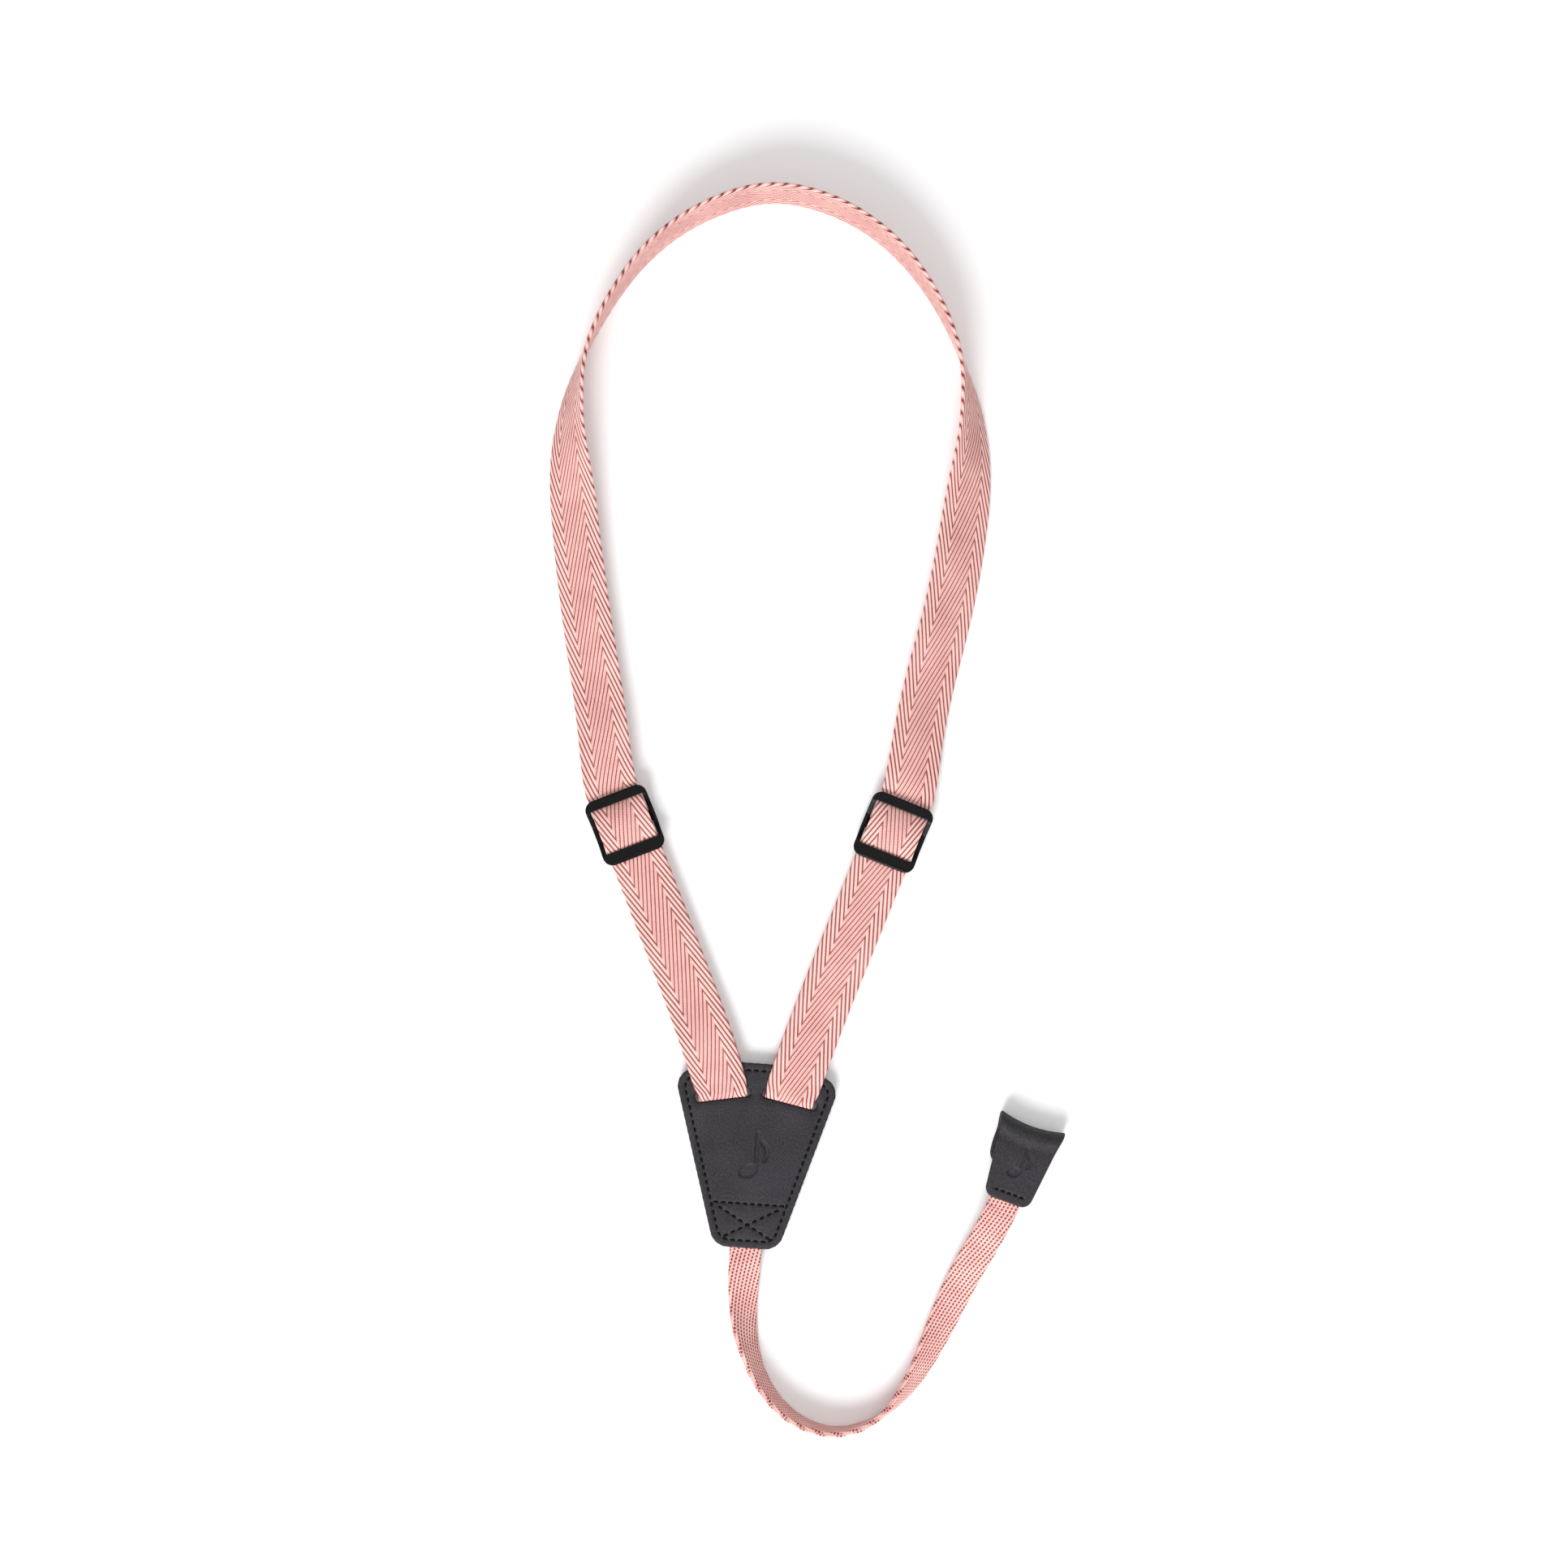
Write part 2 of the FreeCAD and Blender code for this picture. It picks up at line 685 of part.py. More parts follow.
def hook_profile(strap, x, outer, inner, start):
    """The hook's J in side view at x across it, between two distances from its bend's axis."""
    size = strap.size
    middle = size("hook_high") / 2
    reach = size("hook_reach") + size("hook_dip") * (x / size("hook_top_half")) ** 2
    bend = reach - middle
    flap = size("hook_flap_end")

    def spot(y, z):
        return Vector(x, y, z)

    edges = [
        Part.LineSegment(spot(start, middle + outer), spot(bend, middle + outer)).toShape(),
        Part.Arc(
            spot(bend, middle + outer), spot(bend + outer, middle), spot(bend, middle - outer)
        ).toShape(),
        Part.LineSegment(spot(bend, middle - outer), spot(flap, middle - outer)).toShape(),
        Part.LineSegment(spot(flap, middle - outer), spot(flap, middle - inner)).toShape(),
        Part.LineSegment(spot(flap, middle - inner), spot(bend, middle - inner)).toShape(),
        Part.Arc(
            spot(bend, middle - inner), spot(bend + inner, middle), spot(bend, middle + inner)
        ).toShape(),
        Part.LineSegment(spot(bend, middle + inner), spot(start, middle + inner)).toShape(),
        Part.LineSegment(spot(start, middle + inner), spot(start, middle + outer)).toShape(),
    ]
    return Part.Wire(edges)


def hook_layer(strap, node, outer, inner, start, inset):
    """One bent layer of the hook, trimmed to its tapered plan."""
    size, doc = strap.size, strap.doc
    wires = [hook_profile(strap, x, outer, inner, start) for x in (-15, -10, -5, 0, 5, 10, 15)]
    bent = doc.addObject("Part::Feature", f"{node}_bent")
    bent.Shape = Part.makeLoft(wires, True, False)
    low, top = size("hook_low_half") - inset, size("hook_top_half") - inset
    corner = size("hook_corner")
    points = [(-low, start), (low, start), (top, 32.5), (-top, 32.5)]
    lines = rounded_lines(points, [corner, corner, 0.6, 0.6])
    plan = doc.addObject("Part::Feature", f"{node}_plan")
    plan.Shape = Part.Face(Part.Wire([g.toShape() for g in lines])).extrude(UP * 20)
    # The plan starts a hair above the table, which leaves the flap's back a true plane.
    plan.Placement.Base = Vector(0, 0, 0.02)
    layer = doc.addObject("Part::Common", node)
    layer.Base, layer.Tool = bent, plan
    doc.recompute()
    layer.Placement = strap.hook
    strap.add(node, layer)


def hook(strap):
    """Outer leather, stiffener, lining, the tail's sewn end and its row of stitches."""
    size, doc = strap.size, strap.doc
    outer = size("hook_high") / 2
    middle = outer - size("hook_leather")
    inner = middle - size("hook_core")
    lining = inner - size("hook_lining")
    web = size("hook_web_length")
    hook_layer(strap, "hook_outer_leather", outer, middle, 0.0, 0.0)
    hook_layer(strap, "hook_stiffener", middle, inner, web + 0.3, 1.2)
    hook_layer(strap, "hook_lining", inner, lining, 0.0, 0.0)

    end = doc.addObject("Part::Box", "hook_webbing_end")
    end.setExpression("Length", "Dimensions.tail_width")
    end.setExpression("Width", "Dimensions.hook_web_length + 1.2")
    end.setExpression("Height", "Dimensions.hook_core")
    corner = Vector(-size("tail_width") / 2, -1.2, outer + inner)
    end.Placement = strap.hook.multiply(Placement(corner, Rotation()))
    strap.add("hook_webbing_end", end)

    row = doc.addObject("Part::Box", "hook_stitching")
    row.setExpression("Length", "Dimensions.tail_width")
    row.setExpression("Width", "Dimensions.thread")
    row.setExpression("Height", "Dimensions.thread_deep")
    corner = Vector(-size("tail_width") / 2, 3.0, size("hook_high") + 0.01)
    row.Placement = strap.hook.multiply(Placement(corner, Rotation()))
    strap.add("hook_stitching", row)


# ---------------------------------------------------------------------- output


def check(strap):
    """Stops if any object failed or any sub-part's shape is missing or invalid."""
    strap.doc.recompute()
    for item in strap.doc.Objects:
        if "Invalid" in item.State or "Error" in item.State:
            raise RuntimeError(f"{item.Name} is in state {item.State}")
    for node, item in strap.parts:
        shape = item.Shape
        if shape.isNull() or not shape.isValid() or shape.Volume <= 0:
            raise RuntimeError(f"{node} has no valid solid")


def write(strap):
    """Writes each sub-part to its own STEP file."""
    os.makedirs("parts", exist_ok=True)
    for node, item in strap.parts:
        item.Shape.exportStep(f"parts/{node}.step")
        box = item.Shape.BoundBox
        print(
            f"{node}: {len(item.Shape.Solids)} solid, {item.Shape.Volume:.0f} mm3, "
            f"x {box.XMin:.1f}..{box.XMax:.1f} y {box.YMin:.1f}..{box.YMax:.1f} "
            f"z {box.ZMin:.2f}..{box.ZMax:.2f}"
        )


def slot_direction(strap, side):
    """The direction along a slot, towards +X, in the row frame."""
    sign = -1 if side == "left" else 1
    tilt = Rotation(UP, -sign * strap.size("slot_tilt"))
    return strap.yoke.Rotation.multVec(tilt.multVec(Vector(1, 0, 0)))


def main():
    strap = Strap()
    strap.slot_direction = lambda side: slot_direction(strap, side)
    strap.slider_distance = strap.neck_route.nearest(strap.sliders["left"].Base)
    strap.fold_end = 17.0
    print(f"neck webbing's line {strap.neck_route.length:.0f} mm, tail's {strap.tail_route.length:.0f} mm")
    print(f"slider {strap.slider_distance:.1f} mm from its slot")
    neck_webbing(strap)
    for side in ("left", "right"):
        slider(strap, side)
        end_fold(strap, side)
        end_stitching(strap, side)
        return_webbing(strap, side)
    yoke(strap)
    tail_webbing(strap)
    hook(strap)
    check(strap)
    write(strap)


main()
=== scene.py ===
import math

import bpy
import numpy as np
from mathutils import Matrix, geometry


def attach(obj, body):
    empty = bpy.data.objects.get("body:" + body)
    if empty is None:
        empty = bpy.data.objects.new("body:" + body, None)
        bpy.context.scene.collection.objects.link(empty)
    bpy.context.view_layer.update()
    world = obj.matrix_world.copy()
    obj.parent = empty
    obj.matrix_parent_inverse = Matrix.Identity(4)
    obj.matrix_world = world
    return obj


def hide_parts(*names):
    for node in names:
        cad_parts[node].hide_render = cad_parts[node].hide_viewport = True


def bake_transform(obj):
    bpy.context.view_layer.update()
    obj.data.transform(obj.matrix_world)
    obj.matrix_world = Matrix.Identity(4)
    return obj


# A ukulele neck strap lying on a white table. Lengths are in millimetres, and MM turns them
# into metres for a mesh, a camera or a joint. Lamps and bump distances are in metres.

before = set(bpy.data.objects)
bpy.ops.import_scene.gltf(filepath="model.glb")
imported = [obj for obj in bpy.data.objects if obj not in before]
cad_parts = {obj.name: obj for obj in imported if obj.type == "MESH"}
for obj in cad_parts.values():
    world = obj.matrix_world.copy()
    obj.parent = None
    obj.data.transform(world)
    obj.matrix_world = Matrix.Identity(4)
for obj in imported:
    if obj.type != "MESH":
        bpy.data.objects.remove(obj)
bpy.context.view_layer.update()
MM = 0.001
UP = np.array([0.0, 0.0, 1.0])

NECK_WIDTH = 20.0
NECK_THICK = 1.4
RETURN_THICK = 1.2
RETURN_LEVEL = 0.85
THROUGH_LEVEL = 4.85
BRIDGE_LEVEL = 5.95
SLIDERS = {"left": (-68.6, -6.3, 21.0), "right": (32.6, -9.0, -22.0)}
SLOTS = {"left": (-12.9, 58.7, 10.8), "right": (12.9, 58.7, -10.8)}
YOKE = (-23.1, -166.1, -4.0)
YOKE_LOW = 1.9
YOKE_TOP = 5.2
HOOK = (74.8, -148.0, -20.0)
HOOK_HIGH = 10.2
TAIL_WIDTH = 12.0
TAIL_THICK = 2.0
STITCH = 2.9
STITCH_LENGTH = 2.0
SEAM_INSET = 2.8
FRONT_LEATHER_LOW = 3.55
BACK_LEATHER_HIGH = 3.5
TAIL_AT_YOKE = 3.55
TAIL_AT_HOOK = 8.7
YOKE_CORNERS = [(-12.2, 0), (12.2, 0), (31.6, 64.6), (9, 69.9), (-9, 69.9), (-31.6, 64.6)]
YOKE_RADII = [7, 7, 6.5, 18, 18, 6.5]
SLOT_HALF = 10.6
SLOT_WIDE = 3.6
HOOK_REACH = 29.8
HOOK_CORNER = 3.4
EDGE_RINGS = (0.12, 0.3, 0.55, 0.85)

# The weaves: millimetres per rib, how steeply the ribs run, and the yarn's beat along them.
HERRINGBONE_PITCH = 4.7
HERRINGBONE_RISE = 3
TWILL_PITCH = 1.5
TWILL_SLANT = 0.21
TWILL_BEAT = 1.36
TWILL_SHIFT = 0.37
FULL_TURN = 6.2832

NECK_LEFT_ARM = [(-31.87, -106.64), (-37.0, -89.5)]
NECK_ARM_STATIONS = [-68.0, -60.0, 10.0, 17.0]
NECK_LOOP = [
    (-78.0, 38.0), (-84.2, 78.0), (-88.0, 112.0), (-90.2, 142.0), (-85.4, 168.5),
    (-74.5, 191.0), (-59.0, 211.5), (-38.0, 225.8), (-12.5, 233.2), (13.5, 226.3),
    (34.0, 212.0), (49.4, 191.5), (59.2, 168.5), (63.2, 142.0), (60.4, 112.0),
    (54.6, 78.0), (43.8, 38.0),
]
NECK_RIGHT_ARM = [(-0.3, -91.5), (-6.14, -108.44)]
NECK_LEAN = [
    (0, 0), (14, 0), (22, 9), (36, 16), (66, 19), (97, 22), (124, 27), (136, 36),
    (145, 46), (154, 57), (164, 67), (174, 78), (184, 87), (198, 92), (225, 97), (262, 100),
]
TAIL_ROUTE = [
    (-23.2, -168.0), (-24.4, -183.0), (-23.4, -200.0), (-17.2, -217.5), (-5.5, -231.0),
    (11.5, -236.6), (28.5, -230.4), (41.0, -215.0), (49.5, -197.5), (59.5, -176.0),
    (68.5, -160.5), (73.2, -150.8),
]
TAIL_LEAN = [
    (0, 0), (6, 8), (18, 30), (28, 45), (38, 61), (50, 71), (62, 78), (80, 88), (95, 92),
    (107, 103), (116, 117), (127, 130), (137, 144), (147, 157), (158, 170), (170, 179), (400, 180),
]


# ------------------------------------------------------------------ small tools


def place(spot, local):
    """Points of a local frame (x, y, turn in degrees) in the row frame, in millimetres."""
    local = np.atleast_2d(np.asarray(local, float))
    turn = math.radians(spot[2])
    out = local.copy()
    out[:, 0] = spot[0] + local[:, 0] * math.cos(turn) - local[:, 1] * math.sin(turn)
    out[:, 1] = spot[1] + local[:, 0] * math.sin(turn) + local[:, 1] * math.cos(turn)
    return out


def turned(degrees, x, y):
    """A flat direction after a turn about the upright axis."""
    turn = math.radians(degrees)
    return np.array([x * math.cos(turn) - y * math.sin(turn), x * math.sin(turn) + y * math.cos(turn), 0.0])


def smooth(low, high, value):
    """An even step from 0 at low to 1 at high."""
    share = np.clip((np.asarray(value, float) - low) / (high - low), 0.0, 1.0)
    return share * share * (3 - 2 * share)


def unit(rows):
    """Vectors of length one."""
    return rows / np.linalg.norm(rows, axis=-1, keepdims=True)


def softened(table, distance):
    """Values between the rows of a table, with its corners rounded off."""
    rows = np.array(table, float)
    spread = np.linspace(-6, 6, 13)
    weights = np.exp(-((spread / 3.5) ** 2))
    values = [np.interp(distance + d, rows[:, 0], rows[:, 1]) for d in spread]
    return np.tensordot(weights / weights.sum(), np.array(values), 1)


def new_object(name, verts, faces, material, attributes=None):
    """A smooth-shaded object from millimetre points and equal-sided faces."""
    faces = np.asarray(faces, np.int32)
    mesh = bpy.data.meshes.new(name)
    mesh.vertices.add(len(verts))
    mesh.vertices.foreach_set("co", (np.asarray(verts, float) * MM).astype(np.float32).ravel())
    mesh.loops.add(faces.size)
    mesh.loops.foreach_set("vertex_index", faces.ravel())
    mesh.polygons.add(len(faces))
    mesh.polygons.foreach_set("loop_start", np.arange(0, faces.size, faces.shape[1], dtype=np.int32))
    mesh.update(calc_edges=True)
    mesh.polygons.foreach_set("use_smooth", np.ones(len(faces), bool))
    for key, values in (attributes or {}).items():
        layer = mesh.attributes.new(key, "FLOAT_VECTOR", "POINT")
        layer.data.foreach_set("vector", np.asarray(values, np.float32).ravel())
    mesh.materials.append(material)
    mesh.validate()
    item = bpy.data.objects.new(name, mesh)
    bpy.context.scene.collection.objects.link(item)
    return item


def route_points(points):
    """Points along a smooth NURBS line through the plan, read back from Blender."""
    curve = bpy.data.curves.new("route", "CURVE")
    curve.dimensions = "3D"
    curve.resolution_u = 48
    spline = curve.splines.new("NURBS")
    spline.points.add(len(points) - 1)
    for point, (x, y) in zip(spline.points, points):
        point.co = (x * MM, y * MM, 0.0, 1.0)
    spline.order_u = 3
    spline.use_endpoint_u = True
    item = bpy.data.objects.new("route", curve)
    bpy.context.scene.collection.objects.link(item)
    bpy.context.view_layer.update()
    mesh = bpy.data.meshes.new_from_object(item)
    line = np.array([v.co for v in mesh.vertices]) / MM
    bpy.data.objects.remove(item)
    bpy.data.meshes.remove(mesh)
    return line


class Line:
    """A plan line that gives points and directions by distance along it."""

    def __init__(self, points):
        self.points = route_points(points)
        gaps = np.linalg.norm(np.diff(self.points, axis=0), axis=1)
        self.along = np.concatenate([[0.0], np.cumsum(gaps)])
        self.length = self.along[-1]

    def at(self, distance):
        return np.stack([np.interp(distance, self.along, self.points[:, k]) for k in range(3)], 1)

    def forward(self, distance):
        ahead = np.clip(distance + 1.0, 0, self.length)
        back = np.clip(distance - 1.0, 0, self.length)
        return unit(self.at(ahead) - self.at(back))


# ------------------------------------------------------------------- materials


def srgb(red, green, blue):
    """A linear colour from everyday 0 to 255 values."""
    out = []
    for value in (red, green, blue):
        share = value / 255
        out.append(share / 12.92 if share <= 0.04045 else ((share + 0.055) / 1.055) ** 2.4)
    return (*out, 1.0)


class Nodes:
    """A short way to write a node tree."""

    def __init__(self, name):
        self.material = bpy.data.materials.new(name)
        self.material.use_nodes = True
        self.tree = self.material.node_tree
        self.shader = self.tree.nodes["Principled BSDF"]

    def new(self, kind, **settings):
        node = self.tree.nodes.new(kind)
        for key, value in settings.items():
            setattr(node, key, value)
        return node

    def link(self, out, into):
        self.tree.links.new(out, into)

    def feed(self, value, socket):
        if isinstance(value, (int, float, tuple)):
            socket.default_value = value
        else:
            self.link(value, socket)

    def math(self, operation, first, second=None, third=None):
        node = self.new("ShaderNodeMath", operation=operation)
        for value, socket in zip((first, second, third), node.inputs):
            if value is not None:
                self.feed(value, socket)
        return node.outputs[0]

    def noise(self, vector, scale, detail=3.0, rough=0.5):
        node = self.new("ShaderNodeTexNoise")
        node.inputs["Scale"].default_value = scale
        node.inputs["Detail"].default_value = detail
        node.inputs["Roughness"].default_value = rough
        self.link(vector, node.inputs["Vector"])
        return node.outputs["Fac"]

    def mix(self, share, first, second):
        node = self.new("ShaderNodeMix", data_type="RGBA")
        self.feed(share, node.inputs[0])
        self.feed(first, node.inputs[6])
        self.feed(second, node.inputs[7])
        return node.outputs[2]

    def bump(self, height, strength, distance, normal=None):
        node = self.new("ShaderNodeBump")
        node.inputs["Strength"].default_value = strength
        node.inputs["Distance"].default_value = distance
        self.link(height, node.inputs["Height"])
        if normal is not None:
            self.link(normal, node.inputs["Normal"])
        return node.outputs["Normal"]

    def sine(self, turns):
        """A sine wave that repeats at every whole turn."""
        return self.math("SINE", self.math("MULTIPLY", turns, FULL_TURN))

    def ramp(self, value, stops):
        """Colours between stops of a position and an everyday colour."""
        node = self.new("ShaderNodeValToRGB")
        elements = node.color_ramp.elements
        for element, (position, colour) in zip(elements, (stops[0], stops[-1])):
            element.position = position
            element.color = srgb(*colour)
        for position, colour in stops[1:-1]:
            elements.new(position).color = srgb(*colour)
        self.link(value, node.inputs[0])
        return node.outputs[0]

    def finish(self, colour, roughness, normal=None, specular=0.5, sheen=0.0):
        self.feed(colour, self.shader.inputs["Base Color"])
        self.feed(roughness, self.shader.inputs["Roughness"])
        self.shader.inputs["Specular IOR Level"].default_value = specular
        self.shader.inputs["Sheen Weight"].default_value = sheen
        self.shader.inputs["Sheen Roughness"].default_value = 0.4
        if normal is not None:
            self.link(normal, self.shader.inputs["Normal"])
        return self.material


def weave_inputs(nodes):
    """The weave's own coordinates: rib number, place along the rib, and place across."""
    source = nodes.new("ShaderNodeAttribute", attribute_name="weave")
    parts = nodes.new("ShaderNodeSeparateXYZ")
    nodes.link(source.outputs["Vector"], parts.inputs[0])
    return parts.outputs[0], parts.outputs[1], parts.outputs[2]


def herringbone_material():
    """Round twisted ribs of pink yarn, with a painted highlight on each rib's crest and a painted deep rose
    shade in the gaps between them.
    """
    nodes = Nodes("pink_herringbone")
    rib, along, across = weave_inputs(nodes)
    share = nodes.math("FRACT", rib)
    off = nodes.math("ABSOLUTE", nodes.math("SUBTRACT", nodes.math("MULTIPLY", share, 2.0), 1.0))
    # Pale on each rib's crest and dark in the gaps: painted highlight and painted shade across the round
    # rib.
    painted_crest_light_and_gap_shade = nodes.math("SUBTRACT", 1.0, nodes.math("POWER", off, 1.7))
    strand = nodes.math("ADD", nodes.math("MULTIPLY", along, 1.75), nodes.math("MULTIPLY", off, 0.55))
    twist = nodes.math("MULTIPLY_ADD", nodes.sine(strand), 0.5, 0.5)
    place_at = nodes.new("ShaderNodeTexCoord").outputs["Object"]
    cloud = nodes.noise(place_at, 90.0, 3.0)
    fuzz = nodes.noise(place_at, 2600.0, 3.0, 0.65)
    tone = nodes.math("MULTIPLY", painted_crest_light_and_gap_shade, nodes.math("MULTIPLY_ADD", twist, 0.34, 0.72))
    off_middle = nodes.math("ABSOLUTE", nodes.math("SUBTRACT", across, NECK_WIDTH / 2))
    inner = nodes.math("LESS_THAN", off_middle, NECK_WIDTH / 4)
    # In the middle band, a thin dark line down each rib's middle: painted shade of the gap between its two
    # strands.
    painted_strand_gap_shade = nodes.math("MULTIPLY", nodes.math("POWER", nodes.math("SUBTRACT", 1.0, off), 4.0), inner)
    tone = nodes.math("SUBTRACT", tone, nodes.math("MULTIPLY", painted_strand_gap_shade, 0.48))
    tone = nodes.math("ADD", tone, nodes.math("MULTIPLY", inner, 0.06))
    tone = nodes.math("ADD", tone, nodes.math("MULTIPLY", nodes.math("SUBTRACT", fuzz, 0.5), 0.5))
    tone = nodes.math("ADD", tone, nodes.math("MULTIPLY", nodes.math("SUBTRACT", cloud, 0.5), 0.25))
    # The dark rose end of this ramp is the painted shade of the gaps, and the palest end is the painted
    # highlight on the crests.
    colour = nodes.ramp(tone, (
        (0.08, (98, 36, 38)), (0.34, (172, 106, 102)), (0.58, (212, 160, 153)),
        (0.8, (232, 190, 183)), (1.0, (246, 210, 202)),
    ))
    height = nodes.math("ADD", nodes.math("MULTIPLY", twist, 0.35), nodes.math("MULTIPLY", fuzz, 0.4))
    normal = nodes.bump(height, 0.55, 0.00012)
    return nodes.finish(colour, 0.88, normal, 0.2, 0.15)


def twill_material():
    """Tail webbing: fine pale ribs with rows of small pits between them, darkened in the colour as painted
    shade.
    """
    nodes = Nodes("pink_twill")
    rib, along = weave_inputs(nodes)[:2]
    row = nodes.math("ROUND", rib)
    away = nodes.math("ABSOLUTE", nodes.math("SUBTRACT", rib, row))
    gap = nodes.math("SUBTRACT", 1.0, nodes.math("MINIMUM", nodes.math("MULTIPLY", away, 2.9), 1.0))
    beat = nodes.math("ADD", along, nodes.math("MULTIPLY", row, TWILL_SHIFT))
    wave = nodes.math("MULTIPLY_ADD", nodes.sine(beat), 0.5, 0.5)
    dot = nodes.math("MULTIPLY", gap, nodes.math("SMOOTH_MIN", nodes.math("MULTIPLY", wave, 1.8), 1.0, 0.2))
    strand = nodes.sine(nodes.math("ADD", nodes.math("MULTIPLY", along, 2.0), rib))
    place_at = nodes.new("ShaderNodeTexCoord").outputs["Object"]
    cloud = nodes.noise(place_at, 120.0, 2.0)
    fuzz = nodes.noise(place_at, 3000.0, 3.0, 0.65)
    # Darker where the weave's pits sink between the ribs: painted shade in the pits, which the dark rose end
    # of the ramp below carries.
    tone = nodes.math("SUBTRACT", 0.79, nodes.math("MULTIPLY", dot, 0.9))
    tone = nodes.math("ADD", tone, nodes.math("MULTIPLY", strand, 0.07))
    tone = nodes.math("ADD", tone, nodes.math("MULTIPLY", nodes.math("SUBTRACT", fuzz, 0.5), 0.55))
    tone = nodes.math("ADD", tone, nodes.math("MULTIPLY", nodes.math("SUBTRACT", cloud, 0.5), 0.25))
    colour = nodes.ramp(tone, (
        (0.1, (112, 44, 46)), (0.4, (176, 104, 100)), (0.7, (218, 162, 155)), (0.95, (244, 212, 204)),
    ))
    height = nodes.math("SUBTRACT", nodes.math("MULTIPLY", fuzz, 0.4), nodes.math("MULTIPLY", dot, 0.8))
    normal = nodes.bump(height, 0.6, 0.00015)
    return nodes.finish(colour, 0.88, normal, 0.2, 0.15)


def leather_material():
    """Charcoal leather: fine pebble grain, soft wrinkles and slightly rubbed high spots."""
    nodes = Nodes("charcoal_leather")
    place_at = nodes.new("ShaderNodeTexCoord").outputs["Object"]
    cells = nodes.new("ShaderNodeTexVoronoi", feature="DISTANCE_TO_EDGE")
    cells.inputs["Scale"].default_value = 2100.0
    nodes.link(place_at, cells.inputs["Vector"])
    grain = nodes.math("MINIMUM", nodes.math("MULTIPLY", cells.outputs["Distance"], 4.0), 1.0)
    fine = nodes.noise(place_at, 3800.0, 4.0, 0.6)
    cloud = nodes.noise(place_at, 60.0, 3.0)
    speck = nodes.noise(place_at, 1500.0, 2.0)
    tone = nodes.math("ADD", nodes.math("MULTIPLY", cloud, 0.3), nodes.math("MULTIPLY", speck, 0.7))
    tone = nodes.math("MULTIPLY_ADD", tone, 2.6, -0.8)
    tone = nodes.math("MINIMUM", nodes.math("MAXIMUM", tone, 0.0), 1.0)
    colour = nodes.mix(tone, srgb(17, 15, 18), srgb(56, 53, 58))
    height = nodes.math("ADD", nodes.math("MULTIPLY", grain, 0.6), nodes.math("MULTIPLY", fine, 0.6))
    normal = nodes.bump(height, 0.35, 0.0001)
    rough = nodes.math("MULTIPLY_ADD", speck, 0.2, 0.48)
    return nodes.finish(colour, rough, normal, 0.24)


def plastic_material():
    """Moulded black plastic with a fine spark-eroded texture."""
    nodes = Nodes("black_plastic")
    place_at = nodes.new("ShaderNodeTexCoord").outputs["Object"]
    fine = nodes.noise(place_at, 5200.0, 3.0)
    cloud = nodes.noise(place_at, 160.0, 2.0)
    colour = nodes.mix(cloud, srgb(4, 3, 3), srgb(10, 8, 8))
    normal = nodes.bump(fine, 0.25, 0.00004)
    rough = nodes.math("MULTIPLY_ADD", cloud, 0.12, 0.3)
    return nodes.finish(colour, rough, normal, 0.14)


def thread_material(name, dark, pale):
    """Twisted sewing thread."""
    nodes = Nodes(name)
    place_at = nodes.new("ShaderNodeTexCoord").outputs["Object"]
    wave = nodes.new("ShaderNodeTexWave", bands_direction="DIAGONAL")
    wave.inputs["Scale"].default_value = 900.0
    nodes.link(place_at, wave.inputs["Vector"])
    fuzz = nodes.noise(place_at, 6000.0, 2.0)
    share = nodes.math("MULTIPLY_ADD", fuzz, 0.5, nodes.math("MULTIPLY", wave.outputs["Fac"], 0.5))
    colour = nodes.mix(share, srgb(*dark), srgb(*pale))
    normal = nodes.bump(wave.outputs["Fac"], 0.5, 0.00006)
    return nodes.finish(colour, 0.6, normal, 0.1)


def board_material():
    """Pressed fibre board inside the yoke and hook."""
    nodes = Nodes("stiffener_board")
    place_at = nodes.new("ShaderNodeTexCoord").outputs["Object"]
    fibre = nodes.noise(place_at, 900.0, 5.0, 0.7)
    colour = nodes.mix(fibre, srgb(30, 28, 27), srgb(58, 53, 50))
    return nodes.finish(colour, 0.8, nodes.bump(fibre, 0.3, 0.0001), 0.3)


NECK_CLOTH = herringbone_material()
TAIL_CLOTH = twill_material()
LEATHER = leather_material()
PLASTIC = plastic_material()
BLACK_THREAD = thread_material("black_thread", (2, 2, 2), (12, 11, 12))
PINK_THREAD = thread_material("pink_thread", (190, 120, 115), (245, 200, 192))
BOARD = board_material()


# --------------------------------------------------------------------- webbing


def herringbone(x, s, side):
    """Rib number and relief of the neck weave at x across and s along, in millimetres."""
    quarter, half, steep = NECK_WIDTH / 4, NECK_WIDTH / 2, HERRINGBONE_RISE
    rise = np.where(x < quarter, steep * x, steep * quarter - steep * (x - quarter))
    rise = np.where(x > quarter + half, -steep * quarter + steep * (x - quarter - half), rise)
    rib = (s + side * rise) / HERRINGBONE_PITCH
    off = np.abs(2 * (rib % 1.0) - 1)
    relief = 0.20 * np.sqrt(np.clip(1 - off**2, 0, 1)) - 0.12
    for joint in (quarter, quarter + half):
        relief -= 0.08 * np.exp(-(((x - joint) / 0.35) ** 2))
    return rib, relief


def twill(x, s, side):
    """Rib number and relief of the tail weave."""
    rib = (x - side * TWILL_SLANT * s) / TWILL_PITCH
    off = np.abs(rib - np.round(rib))
    beat = (s + side * TWILL_SLANT * x) / TWILL_BEAT + TWILL_SHIFT * np.round(rib)
    dot = np.clip(1 - 3.4 * off, 0, 1) * (0.5 + 0.5 * np.sin(2 * math.pi * beat))
    return rib, 0.05 - 0.16 * dot


